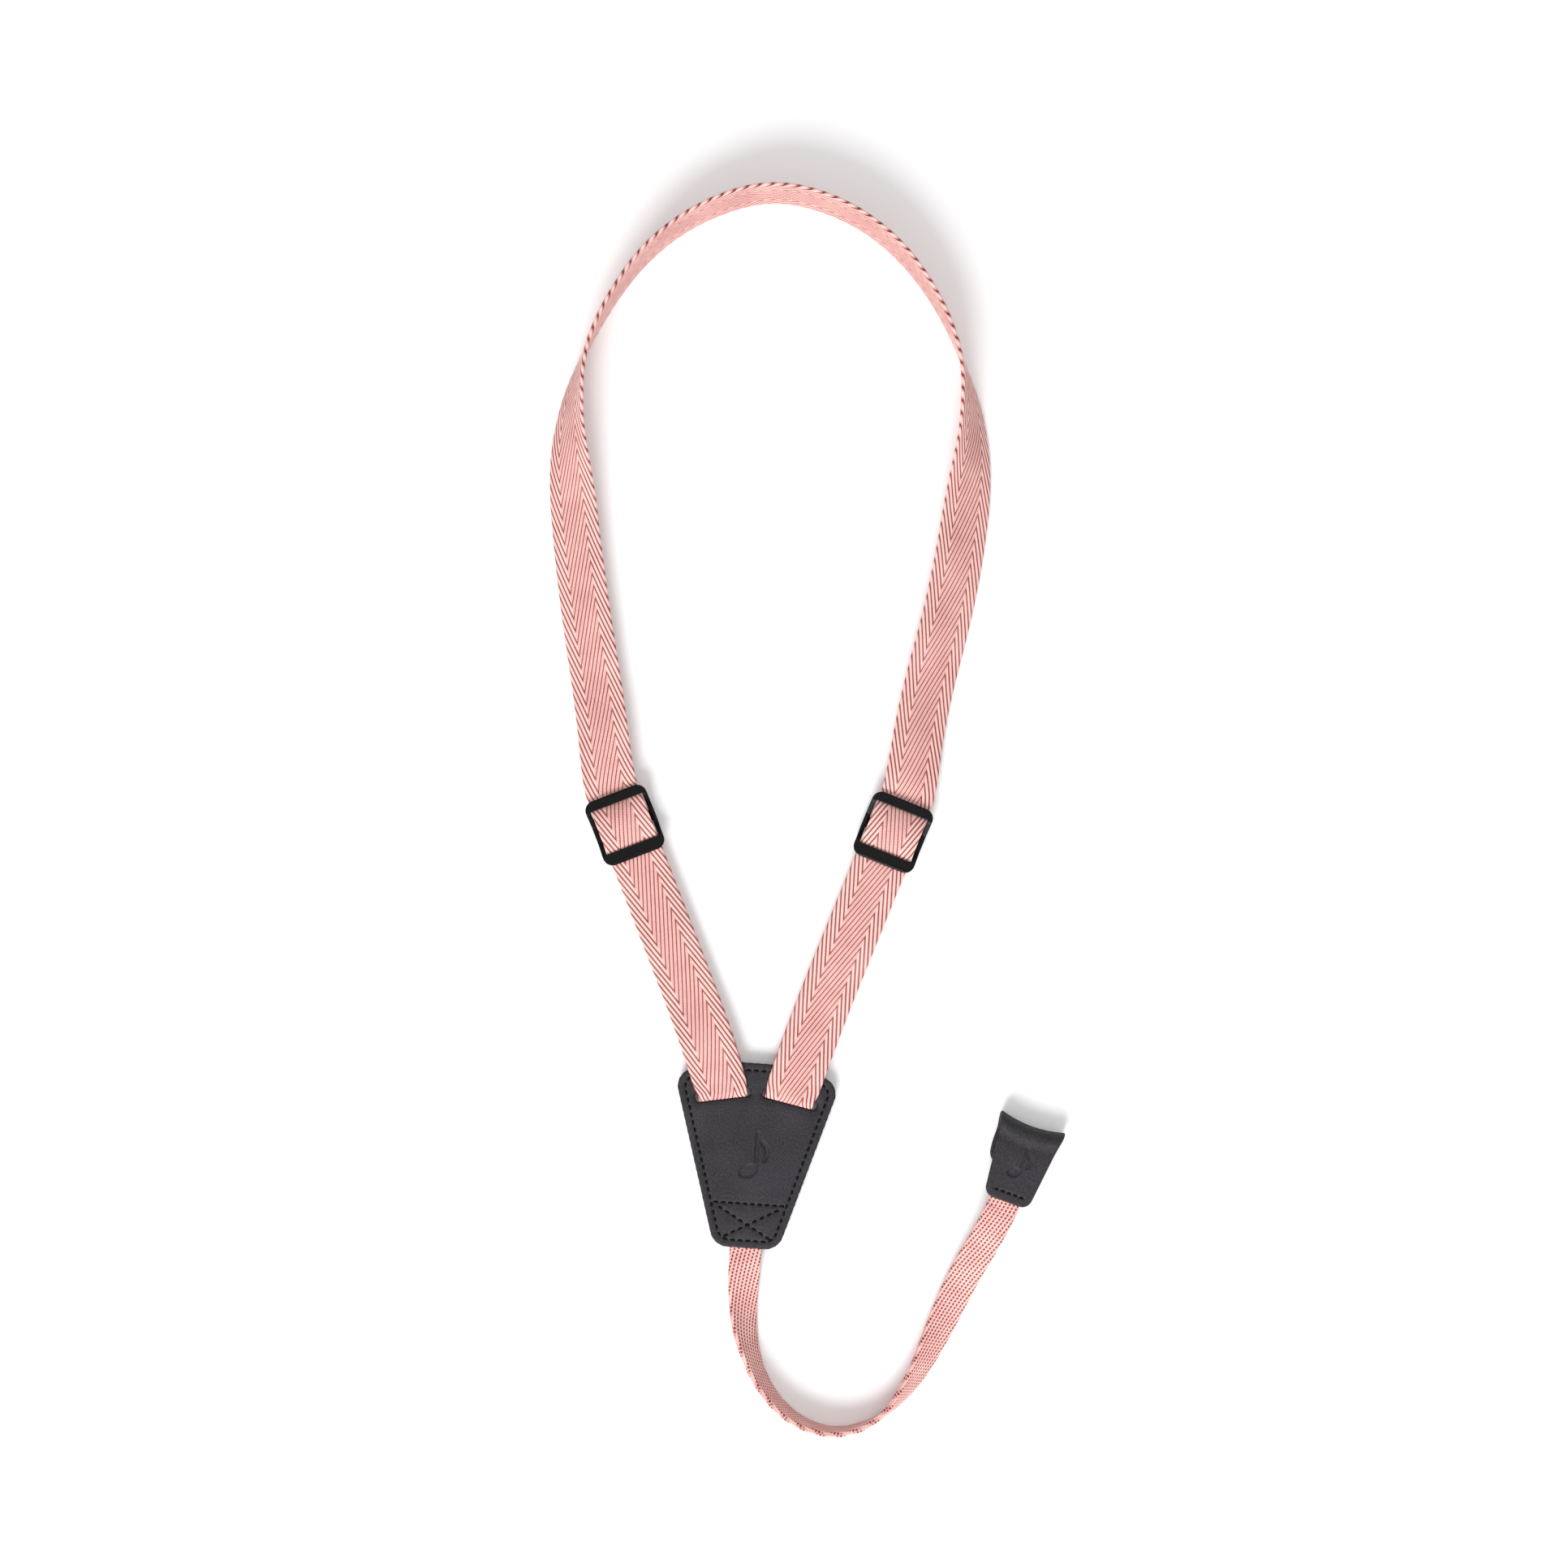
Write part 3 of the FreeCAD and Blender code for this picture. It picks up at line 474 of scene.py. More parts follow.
def ribbon(name, centre, across, normal, s, width, thick, weave, material, step=0.3, calm=None):
    """A closed strip of webbing with rounded selvages and its weave standing in relief."""
    count = len(centre)
    thick = np.broadcast_to(np.asarray(thick, float), (count,))
    round_by = min(0.7, float(thick.max()) / 2)
    body = np.linspace(round_by, width - round_by, max(8, int(width / step)))
    for joint in (width / 4, width * 3 / 4):
        body[np.argmin(np.abs(body - joint))] = joint
    lip = round_by * (1 - np.cos(np.linspace(0, math.pi / 2, 5)[:-1]))
    x = np.concatenate([lip, body, width - lip[::-1]])
    edge = np.minimum(x, width - x)
    shape = np.sqrt(np.clip(1 - (1 - np.clip(edge / round_by, 0, 1)) ** 2, 0.03, 1))
    fade = smooth(0.1, 0.9, edge)
    calm = np.ones(count) if calm is None else calm
    rows, marks = [], []
    for side in (1, -1):
        grid_x, grid_s = np.meshgrid(x[::side], s)
        rib, relief = weave(grid_x, grid_s, side)
        lift = side * (thick[:, None] / 2 * shape[::side] + relief * fade[::side] * calm[:, None])
        spot = centre[:, None, :] + across[:, None, :] * (grid_x - width / 2)[..., None]
        rows.append(spot + normal[:, None, :] * lift[..., None])
        along = grid_s if weave is herringbone else (grid_s + side * TWILL_SLANT * grid_x) / TWILL_BEAT
        marks.append(np.stack([rib, along, grid_x], -1))
    verts = np.concatenate(rows, 1)
    notes = np.concatenate(marks, 1)
    around = verts.shape[1]
    start = np.arange(count - 1)[:, None] * around
    here = np.arange(around)[None, :]
    after = (here + 1) % around
    skin = np.stack([start + around + here, start + around + after, start + after, start + here], -1)
    faces = [skin.reshape(-1, 4)]
    a = np.arange(around // 2 - 1)
    for base, turn_round in ((0, 1), ((count - 1) * around, -1)):
        cap = np.stack([base + a, base + a + 1, base + around - 2 - a, base + around - 1 - a], -1)
        faces.append(cap[:, ::turn_round])
    faces = np.concatenate(faces)
    return new_object(name, verts.reshape(-1, 3), faces, material, {"weave": notes.reshape(-1, 3)})


def neck_controls():
    """The neck webbing's plan, up the left arm, round the loop and down the right arm."""
    points = list(NECK_LEFT_ARM)
    points += [tuple(place(SLIDERS["left"], (0, q))[0]) for q in NECK_ARM_STATIONS]
    points += NECK_LOOP
    points += [tuple(place(SLIDERS["right"], (0, q))[0]) for q in reversed(NECK_ARM_STATIONS)]
    return points + NECK_RIGHT_ARM


NECK = Line(neck_controls())
TAIL = Line(TAIL_ROUTE)
TO_LEFT_SLIDER = np.linalg.norm(NECK.points[:, :2] - np.array(SLIDERS["left"][:2]), axis=1)
SLIDER_AT = NECK.along[np.argmin(TO_LEFT_SLIDER)]


def slot_direction(side):
    """Along the slot, towards the inside of the neck loop."""
    turn = math.radians(YOKE[2] + SLOTS[side][2] + (0 if side == "left" else 180))
    return np.array([math.cos(turn), math.sin(turn), 0.0])


def near_slot(across, from_slot, side):
    """Turns the webbing square to its slot over the last stretch before it."""
    share = (1 - smooth(0, 16, from_slot))[:, None]
    return unit(across * (1 - share) + slot_direction(side) * share)


def neck_front(distance):
    """Centre, width direction and face normal of the neck webbing's front run."""
    spot, forward = NECK.at(distance), NECK.forward(distance)
    inward = np.stack([forward[:, 1], -forward[:, 0], np.zeros(len(distance))], 1)
    from_slot = np.minimum(distance, NECK.length - distance)
    beyond = from_slot - SLIDER_AT
    lean = np.radians(softened(NECK_LEAN, np.clip(beyond, 0, None)))
    lean *= smooth(10, 18, beyond)
    ground = NECK_WIDTH / 2 * np.sin(lean) + NECK_THICK / 2 * np.abs(np.cos(lean))
    level = ground + (THROUGH_LEVEL - NECK_THICK / 2) * (1 - smooth(13, 60, beyond))
    level += (BRIDGE_LEVEL - THROUGH_LEVEL) * (1 - smooth(16, 40, from_slot))
    across = inward * np.cos(lean)[:, None] + UP * np.sin(lean)[:, None]
    half = NECK.length / 2
    left, right = distance < half, distance >= half
    across[left] = near_slot(across[left], from_slot[left], "left")
    across[right] = near_slot(across[right], from_slot[right], "right")
    normal = unit(np.cross(across, forward))
    centre = spot + UP * level[:, None]
    return centre, across, normal


def neck_wrap(side, spacing):
    """The webbing's way under the yoke's top edge, round the leather bridge, up the slot."""
    slot = slot_direction(side)
    outward = np.array([slot[1], -slot[0], 0.0]) * (1 if side == "left" else -1)
    radius = (BRIDGE_LEVEL - RETURN_LEVEL) / 2
    middle = (BRIDGE_LEVEL + RETURN_LEVEL) / 2
    distance = np.arange(18.0, 0.0, -spacing)
    along = distance if side == "left" else NECK.length - distance
    forward = NECK.forward(along)
    square = np.stack([forward[:, 1], -forward[:, 0], np.zeros(len(along))], 1)
    under = NECK.at(along) + UP * RETURN_LEVEL
    across = near_slot(square, distance, side)
    down = np.tile(-UP, (len(along), 1))
    turn = np.linspace(0, math.pi, int(math.pi * radius / spacing))[:-1]
    foot = NECK.at(np.array([0.0 if side == "left" else NECK.length]))[0]
    out = outward * np.sin(turn)[:, None] - UP * np.cos(turn)[:, None]
    centre = np.concatenate([under, foot + UP * middle + out * radius])
    across = np.concatenate([across, np.tile(slot, (len(turn), 1))])
    normal = np.concatenate([down, out])
    s = -np.concatenate([distance + math.pi * radius, (math.pi - turn) * radius])
    return centre, across, normal, s


def neck_webbing():
    """The whole neck webbing in one strip, from wrap to wrap."""
    spacing = 0.32
    distance = np.linspace(0, NECK.length, int(NECK.length / spacing))
    centre, across, normal = neck_front(distance)
    first, last = neck_wrap("left", spacing), neck_wrap("right", spacing)
    centre = np.concatenate([first[0], centre, last[0][::-1]])
    across = np.concatenate([first[1], across, last[1][::-1]])
    normal = np.concatenate([first[2], normal, last[2][::-1]])
    s = np.concatenate([first[3], distance, NECK.length - last[3][::-1]])
    from_turn = np.abs(np.minimum(s, NECK.length - s) + 4.0)
    across = across * (1 - 0.08 * (1 - smooth(2.5, 8, from_turn)))[:, None]
    piece = ribbon("neck_strap", centre, across, normal, s, NECK_WIDTH, NECK_THICK, herringbone, NECK_CLOTH)
    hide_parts("neck_webbing")
    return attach(piece, "yoke")


def slider_axes(side, count):
    """A slider's width direction, once per row, and its direction up the arm."""
    turn = SLIDERS[side][2]
    return np.tile(turned(turn, 1, 0), (count, 1)), turned(turn, 0, 1)


def window_rise(side):
    """The webbing's rise over the centre bar, which travels with the slider."""
    reach, foot, rise_by = 9.6, 5.58, 2.6
    y = np.linspace(-reach, reach, 84)
    share = 1 - np.abs(y / reach) ** 2.1
    thick = 0.08 + 0.5 * share
    top = foot + rise_by * share
    centre = place(SLIDERS[side], np.stack([np.zeros(len(y)), y, top - thick / 2], 1))
    across, forward = slider_axes(side, len(y))
    across = across * 1.01
    slope = np.gradient(top, y)
    rise = unit(forward[None, :] + UP * slope[:, None])
    normal = unit(np.cross(across, rise))
    s = SLIDER_AT + y if side == "left" else NECK.length - SLIDER_AT - y
    piece = ribbon(f"{side}_window_webbing", centre, across, normal, s, NECK_WIDTH, thick,
                   herringbone, NECK_CLOTH, calm=smooth(0.02, 0.2, share))
    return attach(piece, f"{side}_slider")


def return_webbing(side):
    """The way back behind the arm, baked in place."""
    distance = np.arange(15.5, SLIDER_AT - 16.4, 0.35)
    along = distance if side == "left" else NECK.length - distance
    forward = NECK.forward(along)
    across = np.stack([forward[:, 1], -forward[:, 0], np.zeros(len(along))], 1)
    centre = NECK.at(along) + UP * RETURN_LEVEL
    normal = np.tile(-UP, (len(along), 1))
    piece = ribbon(f"{side}_return", centre, across, normal, distance, NECK_WIDTH, RETURN_THICK,
                   herringbone, NECK_CLOTH, step=0.4)
    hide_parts(f"{side}_return_webbing")
    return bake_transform(piece)


def end_fold(side):
    """The webbing's end: under the centre bar, round it and back onto itself."""
    low, thick = RETURN_LEVEL, RETURN_THICK
    high = low + 1.3 + thick + 0.1
    radius, middle, reach = (high - low) / 2, (high + low) / 2, 1.6
    line = [(y, low, 0.0) for y in np.arange(-17.0, reach, 0.35)]
    for turn in np.linspace(0, 180, 16):
        angle = math.radians(turn)
        line.append((reach + radius * math.sin(angle), middle - radius * math.cos(angle), turn))
    for y in np.arange(reach - 0.35, -15.0, -0.35):
        drop = float(smooth(1.5, 8.0, -y))
        line.append((y, high + (low + thick + 0.15 - high) * drop, 180.0))
    rows = np.array(line)
    centre = place(SLIDERS[side], np.stack([np.zeros(len(rows)), rows[:, 0], rows[:, 1]], 1))
    across, forward = slider_axes(side, len(rows))
    angle = np.radians(rows[:, 2])[:, None]
    normal = -forward[None, :] * np.sin(angle) + UP * np.cos(angle)
    s = np.concatenate([[0], np.cumsum(np.linalg.norm(np.diff(centre, axis=0), axis=1))])
    piece = ribbon(f"{side}_fold", centre, across, normal, s, NECK_WIDTH, thick,
                   herringbone, NECK_CLOTH, step=0.4)
    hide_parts(f"{side}_end_fold")
    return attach(piece, f"{side}_slider")


def tail_levels(distance):
    """The tail's lean from lying flat, and its middle's height above the table."""
    lean = np.radians(softened(TAIL_LEAN, distance))
    left = TAIL.length - distance
    ground = TAIL_WIDTH / 2 * np.sin(lean) + TAIL_THICK / 2 * np.abs(np.cos(lean))
    level = ground + (TAIL_AT_YOKE - TAIL_THICK / 2) * (1 - smooth(0, 22, distance))
    level += (TAIL_AT_HOOK - TAIL_THICK / 2) * (1 - smooth(0, 50, left))
    return lean, level


def tail_webbing():
    """The narrow webbing in two halves, each baked in place."""
    spacing, sewn_in, sewn_thick = 0.26, 12.0, 1.1
    extra = np.arange(-sewn_in, 0.0, spacing)
    inner = np.arange(0.0, TAIL.length, spacing)
    outer = np.arange(0.0, sewn_in, spacing)
    spot, forward = TAIL.at(inner), TAIL.forward(inner)
    into = unit(spot[1:2] - spot[0:1])
    onto = turned(HOOK[2], 0, 1)
    spot = np.concatenate([spot[0] + into * extra[:, None], spot, TAIL.points[-1] + onto * outer[:, None]])
    forward = np.concatenate([np.tile(into, (len(extra), 1)), forward, np.tile(onto, (len(outer), 1))])
    distance = np.concatenate([extra, inner, TAIL.length + outer])
    lean, level = tail_levels(np.clip(distance, 0, TAIL.length))
    inward = np.stack([-forward[:, 1], forward[:, 0], np.zeros(len(distance))], 1)
    across = inward * np.cos(lean)[:, None] - UP * np.sin(lean)[:, None]
    normal = inward * np.sin(lean)[:, None] + UP * np.cos(lean)[:, None]
    centre = spot + UP * level[:, None]
    slim = smooth(-1, 4, distance) * smooth(-1, 4, TAIL.length - distance)
    thick = sewn_thick + (TAIL_THICK - sewn_thick) * slim
    middle = 100.0
    near, far = distance <= middle, distance >= middle - spacing * 1.1
    pieces = []
    for name, mask in (("tail_near_yoke", near), ("tail_near_hook", far)):
        pieces.append(ribbon(name, centre[mask], -across[mask], normal[mask], distance[mask],
                             TAIL_WIDTH, thick[mask], twill, TAIL_CLOTH, step=spacing))
    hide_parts("tail_webbing", "tail_anchor")
    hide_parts("hook_webbing_end")
    start = place(YOKE, (0, 0, 3.5))[0]
    end = place(YOKE, (0, -14.0, 3.5))[0]
    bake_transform(pieces[0])
    start = place(HOOK, (0, -14.0, 8.7))[0]
    end = place(HOOK, (0, 0, 8.7))[0]
    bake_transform(pieces[1])


# --------------------------------------------------------------------- leather


def rounded(points, radii, spacing=0.4):
    """A closed outline with rounded corners, sampled evenly."""
    corners = np.array(points, float)
    count = len(corners)
    line = []
    for i in range(count):
        back = unit(corners[i - 1] - corners[i])
        ahead = unit(corners[(i + 1) % count] - corners[i])
        half = math.acos(float(np.clip(back @ ahead, -1, 1))) / 2
        trim = radii[i] / math.tan(half)
        middle = corners[i] + unit(back + ahead) * radii[i] / math.sin(half)
        start = corners[i] + back * trim - middle
        end = corners[i] + ahead * trim - middle
        sweep = math.atan2(start[0] * end[1] - start[1] * end[0], float(start @ end))
        for t in np.linspace(0, 1, max(4, int(abs(sweep) * radii[i] / spacing))):
            a = sweep * t
            line.append(middle + np.array([
                start[0] * math.cos(a) - start[1] * math.sin(a),
                start[0] * math.sin(a) + start[1] * math.cos(a),
            ]))
    return resampled(np.array(line + line[:1]), spacing)[:-1]


def resampled(line, spacing):
    """The same polyline with its points evenly spaced."""
    gaps = np.linalg.norm(np.diff(line, axis=0), axis=1)
    along = np.concatenate([[0], np.cumsum(gaps)])
    count = max(4, int(round(along[-1] / spacing)))
    at = np.linspace(0, along[-1], count + 1)
    return np.stack([np.interp(at, along, line[:, k]) for k in range(line.shape[1])], 1)


def line_distance(points, line, closed=True):
    """The distance of each point to a polyline."""
    ends = np.roll(line, -1, axis=0) if closed else line[1:]
    starts = line if closed else line[:-1]
    best = np.full(len(points), 1e9)
    for a, b in zip(starts, ends):
        d = b - a
        t = np.clip(((points - a) @ d) / max(float(d @ d), 1e-12), 0, 1)
        best = np.minimum(best, np.hypot(*(points - a - t[:, None] * d).T))
    return best


def inside(points, line):
    """Which points a closed polyline holds."""
    result = np.zeros(len(points), bool)
    x, y = points[:, 0], points[:, 1]
    for (ax, ay), (bx, by) in zip(line, np.roll(line, -1, axis=0)):
        crosses = (ay > y) != (by > y)
        if ay != by:
            result ^= crosses & (x < (bx - ax) * (y - ay) / (by - ay) + ax)
    return result


def ring_inward(line, by):
    """A closed line moved inward by a distance; it runs anticlockwise."""
    d = unit(np.roll(line, -1, axis=0) - np.roll(line, 1, axis=0))
    return line + np.stack([-d[:, 1], d[:, 0]], 1) * by


def sheet_mesh(outline, holes, spacing):
    """Triangles that fill an outline with holes, with fine rings beside every edge."""
    rings = [ring_inward(outline, d) for d in EDGE_RINGS]
    rings += [ring_inward(h, -d) for h in holes for d in EDGE_RINGS[:3]]
    low, high = outline.min(0), outline.max(0)
    xs = np.arange(low[0], high[0], spacing)
    ys = np.arange(low[1], high[1], spacing * 0.866)
    grid = np.array([(x + (j % 2) * spacing / 2, y) for j, y in enumerate(ys) for x in xs])
    keep = inside(grid, outline) & (line_distance(grid, outline) > 1.1)
    for hole in holes:
        keep &= ~inside(grid, hole)
        keep &= line_distance(grid, hole) > 0.8
    loops = [outline] + holes
    points, edges = [], []
    for loop in loops:
        base = sum(len(p) for p in points)
        edges += [(base + i, base + (i + 1) % len(loop)) for i in range(len(loop))]
        points.append(loop)
    points += rings + [grid[keep]]
    flat = np.concatenate(points)
    found = geometry.delaunay_2d_cdt([tuple(p) for p in flat], edges, [], 0, 1e-5)
    verts = np.array([tuple(v) for v in found[0]])
    faces = np.array([f for f in found[2] if len(f) == 3])
    middle = verts[faces].mean(1)
    good = inside(middle, outline)
    for hole in holes:
        good &= ~inside(middle, hole)
    return verts, faces[good]


def walls(verts, faces):
    """The boundary edges of a triangle sheet, in the triangles' own direction."""
    edges = dict.fromkeys(edge for a, b, c in faces for edge in ((a, b), (b, c), (c, a)))
    return [edge for edge in edges if edge[::-1] not in edges]


def slab(name, spot, outline, holes, bottom, top_height, spacing, material, round_low=0.25):
    """A flat leather layer: a shaped top, a plain back with eased edges, and walls."""
    verts, faces = sheet_mesh(outline, holes, spacing)
    count = len(verts)
    edge = line_distance(verts, outline)
    for hole in holes:
        edge = np.minimum(edge, line_distance(verts, hole))
    top = np.column_stack([verts, top_height(verts, edge)])
    ease = round_low * (1 - np.sqrt(np.clip(1 - (1 - np.clip(edge / round_low, 0, 1)) ** 2, 0, 1)))
    back = np.column_stack([verts, bottom + ease])
    sides = walls(verts, faces)
    quads = []
    for a, b in sides:
        quads.append((b, a, a + count))
        quads.append((b, a + count, b + count))
    all_faces = np.concatenate([faces, faces[:, ::-1] + count, np.array(quads)])
    return new_object(name, place(spot, np.concatenate([top, back])), all_faces, material)


def note_depth(points, middle, scale):
    """How deep a plain eighth note is pressed at each point, from 0 to 1."""
    p = (points - np.array(middle)) / scale
    head = np.array([p[:, 0] + 1.6, p[:, 1] + 4.2])
    turn = math.radians(24)
    hx = head[0] * math.cos(turn) + head[1] * math.sin(turn)
    hy = -head[0] * math.sin(turn) + head[1] * math.cos(turn)
    depth = np.sqrt((hx / 2.3) ** 2 + (hy / 1.6) ** 2) * 1.9 - 1.9
    stem = line_distance(p, np.array([[0.35, -3.8], [0.35, 5.4]]), False) - 0.38
    flag_line = np.array([[0.35, 5.3], [0.8, 3.9], [2.0, 2.7], [2.9, 1.4], [2.9, -0.1], [2.3, -1.3]])
    flag = line_distance(p, resampled(flag_line, 0.2), False) - 0.42
    depth = np.minimum(np.minimum(depth, stem), flag)
    return 1 - smooth(-0.1, 0.3, depth * scale)


def yoke_outline(inset=0.0, scallop=0.0):
    """The yoke's plan, with the small pinches that the stitches leave along its edge."""
    spacing = 0.35
    line = rounded(YOKE_CORNERS, YOKE_RADII, spacing)
    along = np.arange(len(line)) / len(line)
    beats = round(len(line) * spacing / STITCH)
    pinch = scallop * np.cos(2 * math.pi * beats * along)
    d = unit(np.roll(line, -1, axis=0) - np.roll(line, 1, axis=0))
    return line + np.stack([-d[:, 1], d[:, 0]], 1) * (inset + pinch)[:, None]


def slot_outline(side):
    """A webbing slot's plan in the yoke's own frame."""
    x, y, turn = SLOTS[side]
    half, wide = SLOT_HALF, SLOT_WIDE
    corners = [(-half, -wide + 0.2), (half, -wide + 0.2), (half, 0.2), (-half, 0.2)]
    line = rounded(corners, [1.4] * 4, 0.3)
    return place((x, y, turn), np.column_stack([line, np.zeros(len(line))]))[:, :2]


SEAM_BARS = [
    np.array([(-13.9, 16.7), (13.9, 16.7)]),
    np.array([(-11.9, 15.4), (9.3, 3.6)]),
    np.array([(11.9, 15.4), (-9.3, 3.6)]),
]


def yoke_height(points, edge):
    """The front leather's surface: eased edges, sunk seams, puffed panels and the note."""
    ease = 0.75
    drop = ease - np.sqrt(np.clip(ease**2 - (ease - np.clip(edge, 0, ease)) ** 2, 0, None))
    row = ring_inward(yoke_outline(), SEAM_INSET)
    to_seam = line_distance(points, resampled(np.vstack([row, row[:1]]), 1.2)[:-1])
    for bar in SEAM_BARS:
        to_seam = np.minimum(to_seam, line_distance(points, bar, False))
    height = YOKE_TOP - 0.02 - drop - 0.24 * np.exp(-((to_seam / 0.5) ** 2))
    height += 0.16 * smooth(0.5, 4.0, to_seam) * smooth(0.3, 3.0, edge)
    for side in ("left", "right"):
        bow = line_distance(points, slot_outline(side))
        height -= 0.35 * np.exp(-((bow / 1.4) ** 2)) * (points[:, 1] < 59)
    height -= 0.62 * note_depth(points, (1.2, 35.5), 1.5)
    return height


def capsule(start, end, radius, arch, sink):
    """One stitch: a short thread that arches out of its holes. Returns points and faces."""
    start, end = np.array(start, float), np.array(end, float)
    along = unit(end - start)
    side = unit(np.cross(along, UP))
    rows, sides = 9, 8
    verts = []
    for t in np.linspace(0, 1, rows):
        bell = math.sin(math.pi * t)
        r = radius * (0.45 + 0.55 * bell**0.5) if 0 < t < 1 else radius * 0.2
        middle = start + (end - start) * t + UP * (arch * bell**0.6 - sink)
        for k in range(sides):
            a = 2 * math.pi * k / sides
            verts.append(middle + side * r * math.cos(a) + UP * r * 0.85 * math.sin(a))
    faces = []
    for i in range(rows - 1):
        for k in range(sides):
            n = (k + 1) % sides
            faces.append((i * sides + k, i * sides + n, (i + 1) * sides + n, (i + 1) * sides + k))
    for base, flip in ((0, 1), ((rows - 1) * sides, 0)):
        for k in range(1, sides - 2, 2):
            quad = (base, base + k, base + k + 1, base + k + 2)
            faces.append(quad if flip else quad[::-1])
    return np.array(verts), np.array(faces)


def joined(parts):
    """Several pieces' points and faces as one set."""
    verts, faces, base = [], [], 0
    for part_verts, part_faces in parts:
        verts.append(part_verts)
        faces.append(part_faces + base)
        base += len(part_verts)
    return np.concatenate(verts), np.concatenate(faces)


def seam(name, spot, line, level, pitch, length, body, node=None, radius=0.42):
    """A row of single stitches along a line, in one mesh."""
    gaps = np.linalg.norm(np.diff(line, axis=0), axis=1)
    along = np.concatenate([[0], np.cumsum(gaps)])
    count = max(1, int(round(along[-1] / pitch)))
    pitch = along[-1] / count
    stitches = []
    for i in range(count):
        middle = (i + 0.5) * pitch
        ends = []
        for at in (middle - length / 2, middle + length / 2):
            ends.append([np.interp(at, along, line[:, 0]), np.interp(at, along, line[:, 1]), level])
        stitches.append(capsule(ends[0], ends[1], radius, 0.30, 0.22))
    verts, faces = joined(stitches)
    piece = new_object(name, place(spot, verts), faces, BLACK_THREAD)
    if node:
        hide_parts(node)
    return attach(piece, body)


def yoke():
    """Front and back leather, with every stitch of the three seams."""
    outline = yoke_outline(0.0, 0.05)
    holes = [slot_outline(side) for side in ("left", "right")]
    front = slab("yoke_front", YOKE, outline, holes, FRONT_LEATHER_LOW, yoke_height, 0.5, LEATHER)
    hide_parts("yoke_front_leather")
    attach(front, "yoke")

    def back_height(points, edge):
        return np.full(len(points), BACK_LEATHER_HIGH) - 0.3 * (1 - smooth(0, 0.3, edge))

    back = slab("yoke_back", YOKE, yoke_outline(0.12, 0.06), holes, YOKE_LOW, back_height, 1.0, LEATHER, 0.6)
    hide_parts("yoke_back_leather")
    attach(back, "yoke")

    edge = ring_inward(yoke_outline(), SEAM_INSET)
    edge = np.vstack([edge, edge[:1]])
    top = YOKE_TOP - 0.12
    for name, line, level, node in (
        ("yoke_edge_stitches", edge, top, "yoke_edge_stitching"),
        ("yoke_row_stitches", SEAM_BARS[0], top, "yoke_row_stitching"),
        ("yoke_cross_a", SEAM_BARS[1], top, "yoke_cross_stitching"),
        ("yoke_cross_b", SEAM_BARS[2], YOKE_TOP - 0.06, None),
    ):
        seam(name, YOKE, line, level, STITCH, STITCH_LENGTH, "yoke", node)
    seam("yoke_back_stitches", YOKE, edge, YOKE_LOW + 0.05, STITCH, STITCH_LENGTH, "yoke", radius=0.22)


# ------------------------------------------------------------------------ hook


